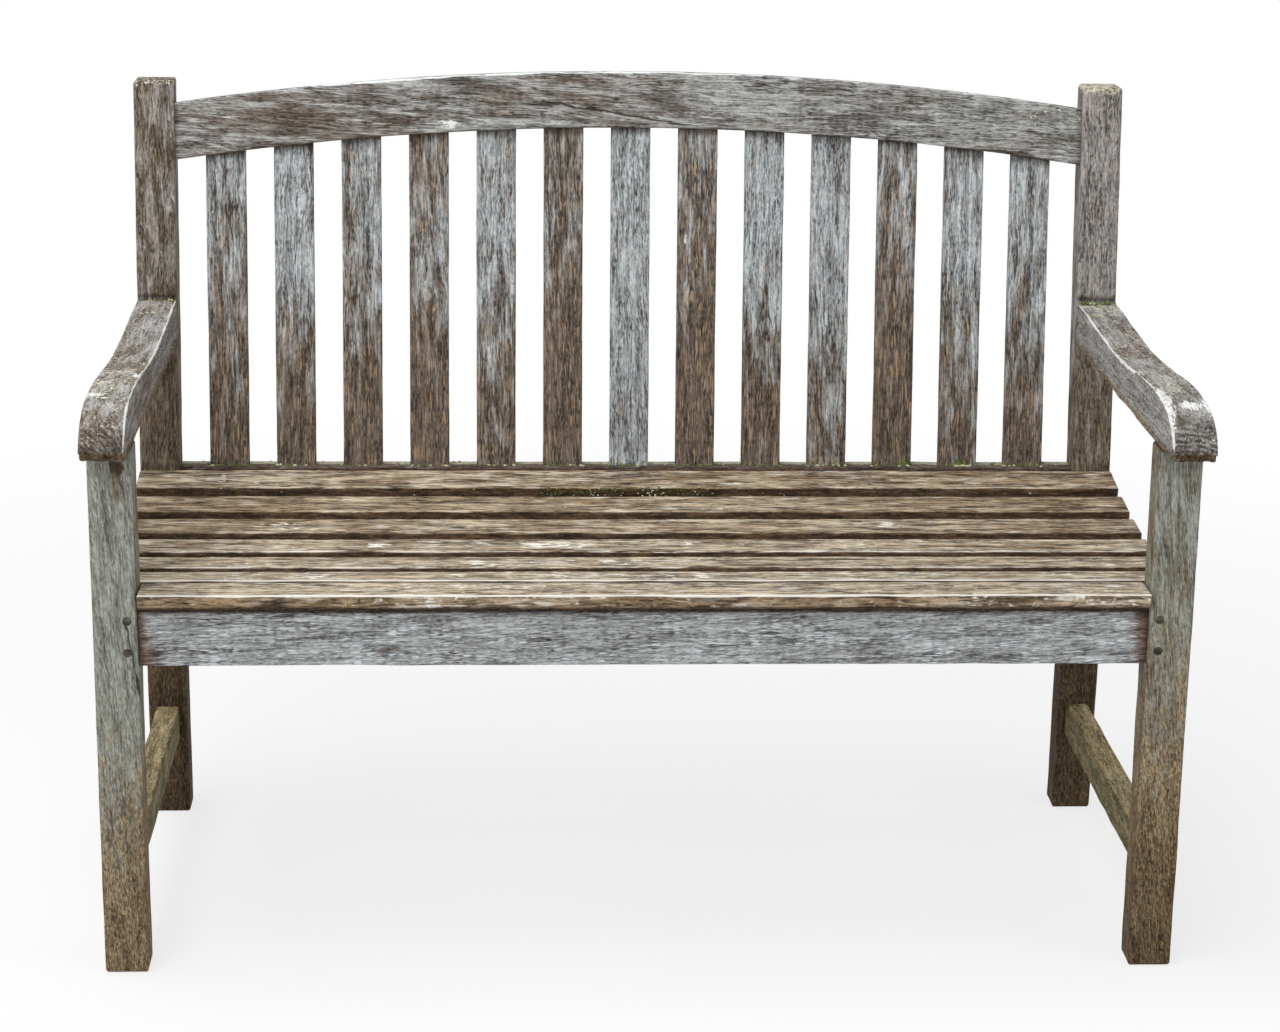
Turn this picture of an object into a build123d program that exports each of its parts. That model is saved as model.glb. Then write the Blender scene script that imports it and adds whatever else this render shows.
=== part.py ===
"""A two-seat slatted garden bench in solid teak, built with mortises, tenons and pegs.

Millimetres. +Z is up, the front of the bench faces -Y, and left means the -X side.
The origin is on the floor, under the middle of the bench's outline.
"""

from build123d import *
import os
from math import asin, atan2, cos, degrees, radians, sin, sqrt, tan

os.makedirs("parts", exist_ok=True)

# ---------------------------------------------------------------- driving dimensions

# Frame
overall_width = 1200.0  # outside the legs
leg_width = 48.0  # legs, posts and arms, across the bench
leg_depth = 42.0  # legs and posts, front to back
leg_height = 607.0  # floor to the underside of the arms
seat_depth = 474.0  # front of the legs to front of the posts, at the knee of the posts
post_height = 921.0
knee_height = 440.0  # where the posts turn from plumb to raked
foot_kick = 11.0  # how far the rear feet stand behind the knee
rake = 7.0  # degrees that the back leans from plumb
knee_round = 120.0
leg_edge_round = 3.0
post_top_round = 5.0
foot_chamfer = 4.0

# Rails
rail_thickness = 28.0
rail_edge_round = 3.0
rail_bottom = 360.0  # underside of the front and side rails
front_rail_recess = 6.0  # behind the front faces of the legs
rear_rail_height = 90.0
rear_rail_step = 1.0  # above the rearmost seat slat
bearer_lift = 6.0  # underside of the bearer above the underside of the rails
stretcher_bottom = 101.0
stretcher_height = 42.0

# Seat
seat_front_height = 446.0
seat_low_height = 429.5
seat_back_height = 453.5
seat_low_setback = 225.0  # lowest line of the dish, behind the front of the legs
front_slat_step = 2.5  # front slat above the front end of the dish
seat_slat_count = 7
seat_slat_width = 50.0
seat_slat_thickness = 16.0
seat_slat_round = 2.5
seat_nosing = 12.0  # front slat ahead of the legs
front_slat_set_in = 6.0  # back edge of the front slat, ahead of the backs of the legs
front_slat_end_gap = 1.5
second_slat_gap = 18.0  # behind the backs of the front legs
post_gap = 0.5  # rearmost slat to the posts

# Back
back_setback = 23.0  # front of the posts to the middle of the back's slats and rails
top_rail_drop = 28.0  # top of the posts to the rail's upper edge, where it meets them
top_rail_width = 68.0
top_rail_arris = 1.5  # chamfer along its underside
arch_rise = 42.0
back_slat_count = 13
back_slat_width = 48.0
back_slat_thickness = 12.0
back_slat_round = 2.0
back_slat_housing = 16.0  # how deep each slat sits in either rail
back_slat_side_margin = 2.0  # added to the gap beside each post

# Arms
arm_overhang = 60.0  # nose ahead of the front legs
arm_rear_thickness = 53.0
arm_dip_thickness = 44.5
arm_dip_setback = 225.0  # thinnest place, behind the front of the legs
arm_crown_thickness = 54.0
arm_crown_setback = 24.0
arm_shoulder_drop = 12.0  # below the crown
arm_shoulder_overhang = 32.0
arm_nose_lip = 6.0  # square lip under the rolled nose
arm_edge_round = 4.0

# Joints
tenon_thickness = 10.0
tenon_length = 22.0
tenon_root = 10.0  # length of each tenon that lies inside its own rail
tenon_shoulder = 6.0  # above and below each tenon
tenon_wall = 3.0  # wood left between two tenons that meet in one leg
short_tenon_length = 12.0  # bearer into the rails
leg_tenon_size = 24.0
leg_tenon_height = 30.0
top_rail_tenon_shoulder = 14.0
peg_diameter = 10.0
peg_pass = 2.0  # how far a peg runs on past its tenon
peg_proud = 0.4
rail_peg_inset = 17.0  # from the lower and upper edge of a rail to the middle of a peg
top_rail_peg_spread = 22.0
screw_shank = 4.5
screw_head = 8.5
screw_head_height = 3.0
screw_length = 38.0
screw_bite = 11.0  # into the slat
screw_pocket = 10.0  # bore that lets the head up into a rail
front_screw_count = 4
bore_overrun = 2.0  # how far a cutter starts outside the wood

# ---------------------------------------------------------------- derived places

rake_run = tan(radians(rake))
overall_depth = arm_overhang + seat_depth + (post_height - knee_height) * rake_run + leg_depth
front_y = arm_overhang - overall_depth / 2  # front faces of the legs
leg_x = overall_width / 2 - leg_width / 2
inner_x = overall_width / 2 - leg_width
outer_x = overall_width / 2
leg_y = front_y + leg_depth / 2
leg_back_y = front_y + leg_depth
post_y = front_y + seat_depth

front_rail_y = front_y + front_rail_recess + rail_thickness / 2
front_rail_back_y = front_rail_y + rail_thickness / 2
front_rail_top = seat_front_height - seat_slat_thickness
front_rail_height = front_rail_top - rail_bottom
rear_rail_top = seat_back_height + rear_rail_step
rear_rail_bottom = rear_rail_top - rear_rail_height
bearer_bottom = rail_bottom + bearer_lift

sides = {"left": -1, "right": 1}


def post_front(z):
    """How far back the front face of a post stands at a height."""
    if z < knee_height:
        return post_y + foot_kick * (knee_height - z) / knee_height
    return post_y + (z - knee_height) * rake_run


def back_middle(z):
    """How far back the middle of the back's slats stands at a height."""
    return post_y + back_setback + (z - knee_height) * rake_run


rear_rail_y = back_middle(rear_rail_top)
rear_rail_front_y = rear_rail_y - rail_thickness / 2

# The plane through the middle of the back: X along the bench, Y up the rake, Z to the front.
back_plane = Plane(
    origin=(0, back_middle(knee_height), knee_height),
    x_dir=(1, 0, 0),
    z_dir=(0, -cos(radians(rake)), sin(radians(rake))),
)


def up_the_rake(z):
    """Distance up the back plane that reaches a height."""
    return (z - knee_height) / cos(radians(rake))


# The rail is an even band between two arcs about one centre.
top_rail_end = up_the_rake(post_height - top_rail_drop)
arch_radius = (inner_x**2 + arch_rise**2) / (2 * arch_rise)
arch_centre = top_rail_end - sqrt((arch_radius + top_rail_width) ** 2 - inner_x**2)
arch_axis = Axis(back_plane.from_local_coords((0, arch_centre, 0)), back_plane.z_dir)


def arch(x, radius):
    """Height of an arc of the top rail, up the back plane."""
    return arch_centre + sqrt(radius**2 - x**2)


# The seat is dished by two parabolas that share a level tangent at its lowest line.
seat_low_y = front_y + seat_low_setback
front_slat_back_y = leg_back_y - front_slat_set_in


def dish(y):
    """Height of the curve that the undersides of the seat slats lie on."""
    if y < seat_low_y:
        share = (seat_low_y - y) / (seat_low_y - front_rail_back_y)
        rise = seat_front_height - front_slat_step - seat_low_height
    else:
        share = (y - seat_low_y) / (post_y - seat_low_y)
        rise = seat_back_height - seat_low_height
    return seat_low_height - seat_slat_thickness + rise * share**2


# ---------------------------------------------------------------- joints


def tenon(x_range, y_range, z_range):
    """A square-edged tenon between the given limits. It also cuts its own mortise."""
    sizes = [high - low for low, high in (x_range, y_range, z_range)]
    corner = [low for low, high in (x_range, y_range, z_range)]
    with BuildPart(Plane(corner)) as solid:
        Box(*sizes, align=(Align.MIN, Align.MIN, Align.MIN))
    return solid.part


def around(middle, size):
    """The limits of a size about its middle."""
    return (middle - size / 2, middle + size / 2)


def inside(edges, inset):
    """The limits that stand in from a rail's lower and upper edge."""
    return (edges[0] + inset, edges[1] - inset)


def peg(face_plane, length):
    """A peg driven into a face, standing a little proud of it."""
    with BuildPart(face_plane.offset(peg_proud)) as solid:
        Cylinder(peg_diameter / 2, length + peg_proud, align=(Align.CENTER, Align.CENTER, Align.MAX))
    return solid.part


def peg_bore(face_plane, length):
    """The bore for a peg, begun outside the wood so that no skin is left over it."""
    with BuildPart(face_plane.offset(bore_overrun)) as solid:
        Cylinder(peg_diameter / 2, length + bore_overrun, align=(Align.CENTER, Align.CENTER, Align.MAX))
    return solid.part


def outer_face(side, y, z):
    """A plane on the outer face of a leg, looking out."""
    return Plane(origin=(side * outer_x, y, z), x_dir=(0, 1, 0), z_dir=(side, 0, 0))


# Tenons of the front rail, and the pegs that show on the front of each leg
front_tenon_x = inner_x + tenon_length / 2
front_rail_edges = (rail_bottom, front_rail_top)
front_tenon_back = front_rail_y + tenon_thickness / 2
front_peg_length = front_tenon_back + peg_pass - front_y
front_peg_planes = {
    side: [
        Plane(origin=(side * front_tenon_x, front_y, z), z_dir=(0, -1, 0))
        for z in inside(front_rail_edges, rail_peg_inset)
    ]
    for side in sides.values()
}


def front_rail_tenon(side):
    x_range = around(side * front_tenon_x, tenon_length)
    z_range = inside(front_rail_edges, tenon_shoulder)
    return tenon(x_range, around(front_rail_y, tenon_thickness), z_range)


# Tenons of the rear rail, pegged from the back
rear_rail_edges = (rear_rail_bottom, rear_rail_top)
rear_tenon_front = rear_rail_y - tenon_thickness / 2
rear_peg_length = post_y + leg_depth - rear_tenon_front + peg_pass
rear_peg_planes = {
    side: [
        Plane(origin=(side * front_tenon_x, post_front(z) + leg_depth, z), z_dir=(0, 1, 0))
        for z in inside(rear_rail_edges, rail_peg_inset)
    ]
    for side in sides.values()
}


def rear_rail_tenon(side):
    x_range = around(side * front_tenon_x, tenon_length)
    z_range = inside(rear_rail_edges, tenon_shoulder)
    return tenon(x_range, around(rear_rail_y, tenon_thickness), z_range)


# Tenons of the side rails stop short of the front and rear rails' own
side_tenon_front = front_tenon_back + tenon_wall
side_tenon_back = rear_tenon_front - tenon_wall
side_front_edges = (rail_bottom, dish(leg_back_y + tenon_root))
side_back_edges = (rail_bottom, dish(post_y - tenon_root))
side_peg_length = leg_width / 2 + tenon_thickness / 2 + peg_pass
side_peg_spots = [((side_tenon_front + leg_back_y) / 2, z) for z in inside(side_front_edges, rail_peg_inset)]
side_peg_spots += [((post_y + side_tenon_back) / 2, z) for z in inside(side_back_edges, rail_peg_inset)]
side_peg_planes = {side: [outer_face(side, *spot) for spot in side_peg_spots] for side in sides.values()}


def side_rail_tenons(side):
    x_range = around(side * leg_x, tenon_thickness)
    front_z_range = inside(side_front_edges, tenon_shoulder)
    back_z_range = inside(side_back_edges, tenon_shoulder)
    front = tenon(x_range, (side_tenon_front, leg_back_y + tenon_root), front_z_range)
    back = tenon(x_range, (post_y - tenon_root, side_tenon_back), back_z_range)
    return [front, back]


# Tenons of the stretchers
stretcher_middle = stretcher_bottom + stretcher_height / 2
stretcher_post_y = post_front(stretcher_middle)
stretcher_peg_planes = {
    side: [
        outer_face(side, y, stretcher_middle)
        for y in (leg_back_y - tenon_length / 2, stretcher_post_y + tenon_length / 2)
    ]
    for side in sides.values()
}


def stretcher_tenons(side):
    x_range = around(side * leg_x, tenon_thickness)
    z_range = around(stretcher_middle, stretcher_height - 2 * tenon_shoulder)
    front = tenon(x_range, (leg_back_y - tenon_length, leg_back_y + tenon_root), z_range)
    back = tenon(x_range, (stretcher_post_y - tenon_root, stretcher_post_y + tenon_length), z_range)
    return [front, back]


# The front leg's square tenon into the arm, and the arm's tenon into the post
arm_tenon_heights = (leg_height + tenon_shoulder, leg_height + arm_rear_thickness - tenon_shoulder)
arm_tenon_middle = sum(arm_tenon_heights) / 2
arm_post_y = post_front(arm_tenon_middle)
arm_peg_planes = {
    side: [
        outer_face(side, leg_y, leg_height + leg_tenon_height / 2),
        outer_face(side, arm_post_y + tenon_length / 2, arm_tenon_middle),
    ]
    for side in sides.values()
}


def leg_tenon(side):
    z_range = (leg_height - tenon_root, leg_height + leg_tenon_height)
    return tenon(around(side * leg_x, leg_tenon_size), around(leg_y, leg_tenon_size), z_range)


def arm_tenon(side):
    y_range = (arm_post_y - tenon_root, arm_post_y + tenon_length)
    return tenon(around(side * leg_x, tenon_thickness), y_range, arm_tenon_heights)


# Tenons of the top rail lie in the back plane and are pegged square to it
top_tenon_top = top_rail_end - top_rail_tenon_shoulder
top_tenon_bottom = arch(inner_x, arch_radius) + top_rail_tenon_shoulder
top_tenon_middle = (top_tenon_top + top_tenon_bottom) / 2
post_back_offset = (leg_depth - back_setback) * cos(radians(rake))
top_peg_length = post_back_offset + tenon_thickness / 2 + peg_pass


def top_peg_plane(side, offset):
    """A plane on the raked back of a post, looking back."""
    spot = (side * front_tenon_x, top_tenon_middle + offset, -post_back_offset)
    return Plane(origin=back_plane.from_local_coords(spot), z_dir=-back_plane.z_dir)


top_peg_planes = {
    side: [top_peg_plane(side, offset) for offset in around(0, top_rail_peg_spread)]
    for side in sides.values()
}


def top_rail_tenon(side):
    with BuildPart() as solid:
        with BuildSketch(back_plane):
            with Locations((side * front_tenon_x, top_tenon_middle)):
                Rectangle(tenon_length, top_tenon_top - top_tenon_bottom)
        extrude(amount=tenon_thickness / 2, both=True)
    return solid.part


def bearer_tenons():
    x_range = around(0, tenon_thickness)
    front_range = (front_rail_back_y - short_tenon_length, front_rail_back_y + tenon_root)
    back_range = (rear_rail_front_y - tenon_root, rear_rail_front_y + short_tenon_length)
    front_z_range = inside((bearer_bottom, dish(front_range[1])), tenon_shoulder)
    back_z_range = inside((bearer_bottom, dish(back_range[0])), tenon_shoulder)
    return [tenon(x_range, front_range, front_z_range), tenon(x_range, back_range, back_z_range)]


# ---------------------------------------------------------------- seat slats

# Front edge, back edge and end of each slat, from the front of the seat to the back
second_slat_y = leg_back_y + second_slat_gap
spread_slats = seat_slat_count - 1
last_slat_back_y = post_y - post_gap
seat_slat_gap = (last_slat_back_y - second_slat_y - spread_slats * seat_slat_width) / (spread_slats - 1)
seat_slats = [(front_y - seat_nosing, front_slat_back_y, inner_x - front_slat_end_gap)]
for index in range(spread_slats):
    slat_front_y = second_slat_y + index * (seat_slat_width + seat_slat_gap)
    seat_slats.append((slat_front_y, slat_front_y + seat_slat_width, outer_x))


def seat_slat_underside(index):
    """Heights of the lower front and lower back corner of a slat."""
    if index == 0:
        return front_rail_top, front_rail_top
    return dish(seat_slats[index][0]), dish(seat_slats[index][1])


# Where each slat screw stands, and the height of the slat's underside over it
screw_spots = []
for index in range(front_screw_count):
    screw_x = inner_x * ((2 * index + 1) / front_screw_count - 1)
    screw_spots.append((screw_x, front_rail_y, front_rail_top))
for index in range(1, seat_slat_count):
    screw_y = (seat_slats[index][0] + seat_slats[index][1]) / 2
    for screw_x in (-leg_x, 0, leg_x):
        screw_spots.append((screw_x, screw_y, sum(seat_slat_underside(index)) / 2))


def slat_screw(x, y, underside):
    """A pan-head screw driven up from under a rail."""
    with BuildPart(Plane((x, y, underside + screw_bite - screw_length))) as solid:
        Cylinder(screw_shank / 2, screw_length, align=(Align.CENTER, Align.CENTER, Align.MIN))
        Cylinder(screw_head / 2, screw_head_height, align=(Align.CENTER, Align.CENTER, Align.MIN))
    return solid.part


def screw_bore(x, y, underside, bottom):
    """The clearance for a screw through a rail: the head's pocket from below, then the shank's hole."""
    seat = underside + screw_bite - screw_length + screw_head_height
    with BuildPart(Plane((x, y, bottom - bore_overrun))) as solid:
        pocket_depth = seat - bottom + bore_overrun
        shank_depth = underside + screw_bite - bottom + bore_overrun
        Cylinder(screw_pocket / 2, pocket_depth, align=(Align.CENTER, Align.CENTER, Align.MIN))
        Cylinder(screw_shank / 2, shank_depth, align=(Align.CENTER, Align.CENTER, Align.MIN))
    return solid.part


# ---------------------------------------------------------------- front legs

for name, side in sides.items():
    with BuildPart() as front_leg:
        with BuildSketch():
            with Locations((side * leg_x, leg_y)):
                Rectangle(leg_width, leg_depth)
        extrude(amount=leg_height)
        chamfer(front_leg.faces().sort_by(Axis.Z)[0].edges(), foot_chamfer)
        fillet(front_leg.edges().filter_by(Axis.Z), leg_edge_round)
        add(leg_tenon(side))
        add(front_rail_tenon(side), mode=Mode.SUBTRACT)
        add(side_rail_tenons(side), mode=Mode.SUBTRACT)
        add(stretcher_tenons(side), mode=Mode.SUBTRACT)
        for plane in front_peg_planes[side]:
            add(peg_bore(plane, front_peg_length), mode=Mode.SUBTRACT)
        for plane in side_peg_planes[side] + stretcher_peg_planes[side] + arm_peg_planes[side]:
            add(peg_bore(plane, side_peg_length), mode=Mode.SUBTRACT)
    front_leg.part.label = f"front_leg_{name}"
    export_step(front_leg.part, f"parts/front_leg_{name}.step")

# ---------------------------------------------------------------- rear posts


def post_bar(side):
    """A post as sawn, with square edges: foot kicked back, knee at the seat, raked above."""
    with BuildPart() as solid:
        with BuildSketch(Plane.YZ.offset(side * leg_x)):
            with BuildLine():
                Polyline(
                    (post_front(0), 0),
                    (post_front(knee_height), knee_height),
                    (post_front(post_height), post_height),
                    (post_front(post_height) + leg_depth, post_height),
                    (post_front(knee_height) + leg_depth, knee_height),
                    (post_front(0) + leg_depth, 0),
                    close=True,
                )
            make_face()
        extrude(amount=leg_width / 2, both=True)
        fillet(solid.edges().filter_by(Axis.X).sort_by(Axis.Z)[2:4], knee_round)
    return solid.part


post_bars = {side: post_bar(side) for side in sides.values()}

for name, side in sides.items():
    with BuildPart() as rear_post:
        add(post_bars[side])
        chamfer(rear_post.faces().sort_by(Axis.Z)[0].edges(), foot_chamfer)
        fillet(rear_post.edges().filter_by(Axis.X).sort_by(Axis.Z)[-2:], post_top_round)
        fillet(rear_post.edges().sort_by(SortBy.LENGTH)[-8:], leg_edge_round)
        add(rear_rail_tenon(side), mode=Mode.SUBTRACT)
        add(side_rail_tenons(side), mode=Mode.SUBTRACT)
        add(stretcher_tenons(side), mode=Mode.SUBTRACT)
        add(arm_tenon(side), mode=Mode.SUBTRACT)
        add(top_rail_tenon(side), mode=Mode.SUBTRACT)
        for plane in rear_peg_planes[side]:
            add(peg_bore(plane, rear_peg_length), mode=Mode.SUBTRACT)
        for plane in top_peg_planes[side]:
            add(peg_bore(plane, top_peg_length), mode=Mode.SUBTRACT)
        for plane in side_peg_planes[side] + stretcher_peg_planes[side] + arm_peg_planes[side]:
            add(peg_bore(plane, side_peg_length), mode=Mode.SUBTRACT)
    rear_post.part.label = f"rear_post_{name}"
    export_step(rear_post.part, f"parts/rear_post_{name}.step")

# ---------------------------------------------------------------- armrests

for name, side in sides.items():
    with BuildPart() as armrest:
        with BuildSketch(Plane.YZ.offset(side * leg_x)):
            with BuildLine():
                arm_end = arm_post_y + leg_depth / 2
                rear_top = (arm_end, leg_height + arm_rear_thickness)
                dip = (front_y + arm_dip_setback, leg_height + arm_dip_thickness)
                crown = (front_y + arm_crown_setback, leg_height + arm_crown_thickness)
                shoulder = (front_y - arm_shoulder_overhang, crown[1] - arm_shoulder_drop)
                nose = (front_y - arm_overhang, leg_height + arm_nose_lip)
                Spline(rear_top, dip, crown, shoulder, nose, tangents=((-1, 0), (0, -1)))
                Polyline(nose, (nose[0], leg_height), (arm_end, leg_height), rear_top)
            make_face()
        extrude(amount=leg_width / 2, both=True)
        fillet(armrest.faces().filter_by(Axis.X).edges(), arm_edge_round)
        add(post_bars[side], mode=Mode.SUBTRACT)
        add(arm_tenon(side))
        add(leg_tenon(side), mode=Mode.SUBTRACT)
        for plane in arm_peg_planes[side]:
            add(peg_bore(plane, side_peg_length), mode=Mode.SUBTRACT)
    armrest.part.label = f"armrest_{name}"
    export_step(armrest.part, f"parts/armrest_{name}.step")

# ---------------------------------------------------------------- front and rear rails

with BuildPart() as front_seat_rail:
    with BuildSketch(Plane.XY.offset(rail_bottom)):
        with Locations((0, front_rail_y)):
            Rectangle(2 * inner_x, rail_thickness)
    extrude(amount=front_rail_height)
    fillet(front_seat_rail.edges().filter_by(Axis.X), rail_edge_round)
    for side in sides.values():
        add(front_rail_tenon(side))
        for plane in front_peg_planes[side]:
            add(peg_bore(plane, front_peg_length), mode=Mode.SUBTRACT)
    add(bearer_tenons(), mode=Mode.SUBTRACT)
    for spot in screw_spots[:front_screw_count]:
        add(screw_bore(*spot, rail_bottom), mode=Mode.SUBTRACT)
front_seat_rail.part.label = "front_seat_rail"
export_step(front_seat_rail.part, "parts/front_seat_rail.step")

# ---------------------------------------------------------------- back slats

back_slat_spread = 2 * (inner_x - back_slat_side_margin)
back_slat_gap = (back_slat_spread - back_slat_count * back_slat_width) / (back_slat_count + 1)
back_slat_pitch = back_slat_width + back_slat_gap
back_slat_foot = up_the_rake(rear_rail_top - back_slat_housing)


def back_slat_blank(index):
    """A back slat with square ends, raked, reaching into its housing in either rail."""
    middle = (index - (back_slat_count - 1) / 2) * back_slat_pitch
    outer_edge = abs(middle) + back_slat_width / 2
    head = arch(outer_edge, arch_radius) + back_slat_housing
    with BuildPart() as solid:
        with BuildSketch(back_plane):
            with Locations((middle, (back_slat_foot + head) / 2)):
                Rectangle(back_slat_width, head - back_slat_foot)
        extrude(amount=back_slat_thickness / 2, both=True)
    return solid.part


back_slats = [back_slat_blank(index) for index in range(back_slat_count)]

for index, blank in enumerate(back_slats, start=1):
    with BuildPart() as back_slat:
        add(blank)
        fillet(back_slat.edges().sort_by(SortBy.LENGTH)[-4:], back_slat_round)
    back_slat.part.label = f"back_slat_{index:02d}"
    export_step(back_slat.part, f"parts/back_slat_{index:02d}.step")

with BuildPart() as rear_seat_rail:
    with BuildSketch(Plane.XY.offset(rear_rail_bottom)):
        with Locations((0, rear_rail_y)):
            Rectangle(2 * inner_x, rail_thickness)
    extrude(amount=rear_rail_height)
    fillet(rear_seat_rail.edges().filter_by(Axis.X), rail_edge_round)
    for side in sides.values():
        add(rear_rail_tenon(side))
        for plane in rear_peg_planes[side]:
            add(peg_bore(plane, rear_peg_length), mode=Mode.SUBTRACT)
    add(bearer_tenons(), mode=Mode.SUBTRACT)
    for blank in back_slats:
        add(blank, mode=Mode.SUBTRACT)
rear_seat_rail.part.label = "rear_seat_rail"
export_step(rear_seat_rail.part, "parts/rear_seat_rail.step")

# ---------------------------------------------------------------- top rail

# Its section is turned about the arch's centre, on past the posts, then cut plumb between them.
half_sweep = degrees(asin(outer_x / arch_radius))
section_plane = Plane(
    origin=arch_axis.position,
    x_dir=back_plane.y_dir.rotate(arch_axis, half_sweep),
    z_dir=back_plane.x_dir.rotate(arch_axis, half_sweep),
)

with BuildPart() as top_rail:
    with BuildSketch(section_plane) as section:
        with Locations((arch_radius + top_rail_width / 2, 0)):
            Rectangle(top_rail_width, rail_thickness)
        lower_corners, upper_corners = section.vertices().group_by(Axis.X)
        chamfer(lower_corners, top_rail_arris)
        fillet(upper_corners, rail_edge_round)
    revolve(axis=arch_axis, revolution_arc=-2 * half_sweep)
    for side in sides.values():
        split(bisect_by=Plane((side * inner_x, 0, 0), z_dir=(side, 0, 0)), keep=Keep.BOTTOM)
    for side in sides.values():
        add(top_rail_tenon(side))
        for plane in top_peg_planes[side]:
            add(peg_bore(plane, top_peg_length), mode=Mode.SUBTRACT)
    for blank in back_slats:
        add(blank, mode=Mode.SUBTRACT)
top_rail.part.label = "top_rail"
export_step(top_rail.part, "parts/top_rail.step")

# ---------------------------------------------------------------- side rails and bearer


def dished_rail(x, start, end, bottom):
    """A rail on edge from front to back, its upper edge dished for the seat slats."""
    with BuildPart() as solid:
        with BuildSketch(Plane.YZ.offset(x)):
            with BuildLine():
                low = (seat_low_y, dish(seat_low_y))
                Bezier((start, dish(start)), ((start + seat_low_y) / 2, low[1]), low)
                Bezier(low, ((end + seat_low_y) / 2, low[1]), (end, dish(end)))
                Polyline((end, dish(end)), (end, bottom), (start, bottom), (start, dish(start)))
            make_face()
        extrude(amount=rail_thickness / 2, both=True)
    return solid.part


for name, side in sides.items():
    with BuildPart() as side_seat_rail:
        add(dished_rail(side * leg_x, leg_back_y, post_y + leg_depth / 2, rail_bottom))
        add(post_bars[side], mode=Mode.SUBTRACT)
        add(side_rail_tenons(side))
        for plane in side_peg_planes[side]:
            add(peg_bore(plane, side_peg_length), mode=Mode.SUBTRACT)
        for spot in screw_spots:
            if spot[0] == side * leg_x:
                add(screw_bore(*spot, rail_bottom), mode=Mode.SUBTRACT)
    side_seat_rail.part.label = f"side_seat_rail_{name}"
    export_step(side_seat_rail.part, f"parts/side_seat_rail_{name}.step")

with BuildPart() as centre_seat_bearer:
    add(dished_rail(0, front_rail_back_y, rear_rail_front_y, bearer_bottom))
    add(bearer_tenons())
    for spot in screw_spots:
        if spot[0] == 0:
            add(screw_bore(*spot, bearer_bottom), mode=Mode.SUBTRACT)
centre_seat_bearer.part.label = "centre_seat_bearer"
export_step(centre_seat_bearer.part, "parts/centre_seat_bearer.step")

# ---------------------------------------------------------------- stretchers

for name, side in sides.items():
    with BuildPart() as stretcher:
        with BuildSketch(Plane.XY.offset(stretcher_bottom)):
            stretcher_end = stretcher_post_y + leg_depth / 2
            with Locations((side * leg_x, (leg_back_y + stretcher_end) / 2)):
                Rectangle(rail_thickness, stretcher_end - leg_back_y)
        extrude(amount=stretcher_height)
        fillet(stretcher.edges().filter_by(Axis.Y), rail_edge_round)
        add(post_bars[side], mode=Mode.SUBTRACT)
        add(stretcher_tenons(side))
        for plane in stretcher_peg_planes[side]:
            add(peg_bore(plane, side_peg_length), mode=Mode.SUBTRACT)
    stretcher.part.label = f"stretcher_{name}"
    export_step(stretcher.part, f"parts/stretcher_{name}.step")

# ---------------------------------------------------------------- seat slats, each tilted to lie on the dish

for index, (start, end, half_length) in enumerate(seat_slats):
    front_z, back_z = seat_slat_underside(index)
    tilt = atan2(back_z - front_z, end - start)
    slat_plane = Plane(origin=(0, start, front_z), x_dir=(0, cos(tilt), sin(tilt)), z_dir=(1, 0, 0))
    is_last = index == spread_slats
    spare_width = seat_slat_thickness if is_last else 0
    with BuildPart() as seat_slat:
        with BuildSketch(slat_plane):
            section_width = (end - start) / cos(tilt) + spare_width
            Rectangle(section_width, seat_slat_thickness, align=(Align.MIN, Align.MIN))
        extrude(amount=half_length, both=True)
        if is_last:  # planed plumb, to stand against the posts
            split(bisect_by=Plane(origin=(0, end, 0), z_dir=(0, -1, 0)), keep=Keep.TOP)
        fillet(seat_slat.edges().filter_by(Axis.X), seat_slat_round)
        for spot in screw_spots:
            if start < spot[1] < end:
                add(slat_screw(*spot), mode=Mode.SUBTRACT)
    seat_slat.part.label = f"seat_slat_{index + 1}"
    export_step(seat_slat.part, f"parts/seat_slat_{index + 1}.step")

# ---------------------------------------------------------------- pegs and screws, one node for each kind

peg_groups = {
    "front_rail_pegs": (front_peg_planes, front_peg_length),
    "rear_rail_pegs": (rear_peg_planes, rear_peg_length),
    "side_rail_pegs": (side_peg_planes, side_peg_length),
    "stretcher_pegs": (stretcher_peg_planes, side_peg_length),
    "armrest_pegs": (arm_peg_planes, side_peg_length),
    "top_rail_pegs": (top_peg_planes, top_peg_length),
}

for name, (planes, length) in peg_groups.items():
    with BuildPart() as pegs:
        for side in sides.values():
            for plane in planes[side]:
                add(peg(plane, length))
    pegs.part.label = name
    export_step(pegs.part, f"parts/{name}.step")

with BuildPart() as slat_screws:
    for spot in screw_spots:
        add(slat_screw(*spot))
slat_screws.part.label = "slat_screws"
export_step(slat_screws.part, "parts/slat_screws.step")
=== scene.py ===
# %% [markdown]
# # A weathered teak garden bench
#
# The bench is a frame of sawn teak boards, tenoned and pegged together and then left outdoors for years.
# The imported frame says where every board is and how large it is. This lesson dresses each board: it draws
# a dense mesh in the same place, wears its edges, and gives it a procedural wood that has gone grey in the
# sun, brown in the shade and green where it stays damp.

# %% Load the frame
from math import cos, pi, radians, sin, sqrt, tan

import bmesh
import bpy
import numpy as np
from mathutils import Matrix, Vector


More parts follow.
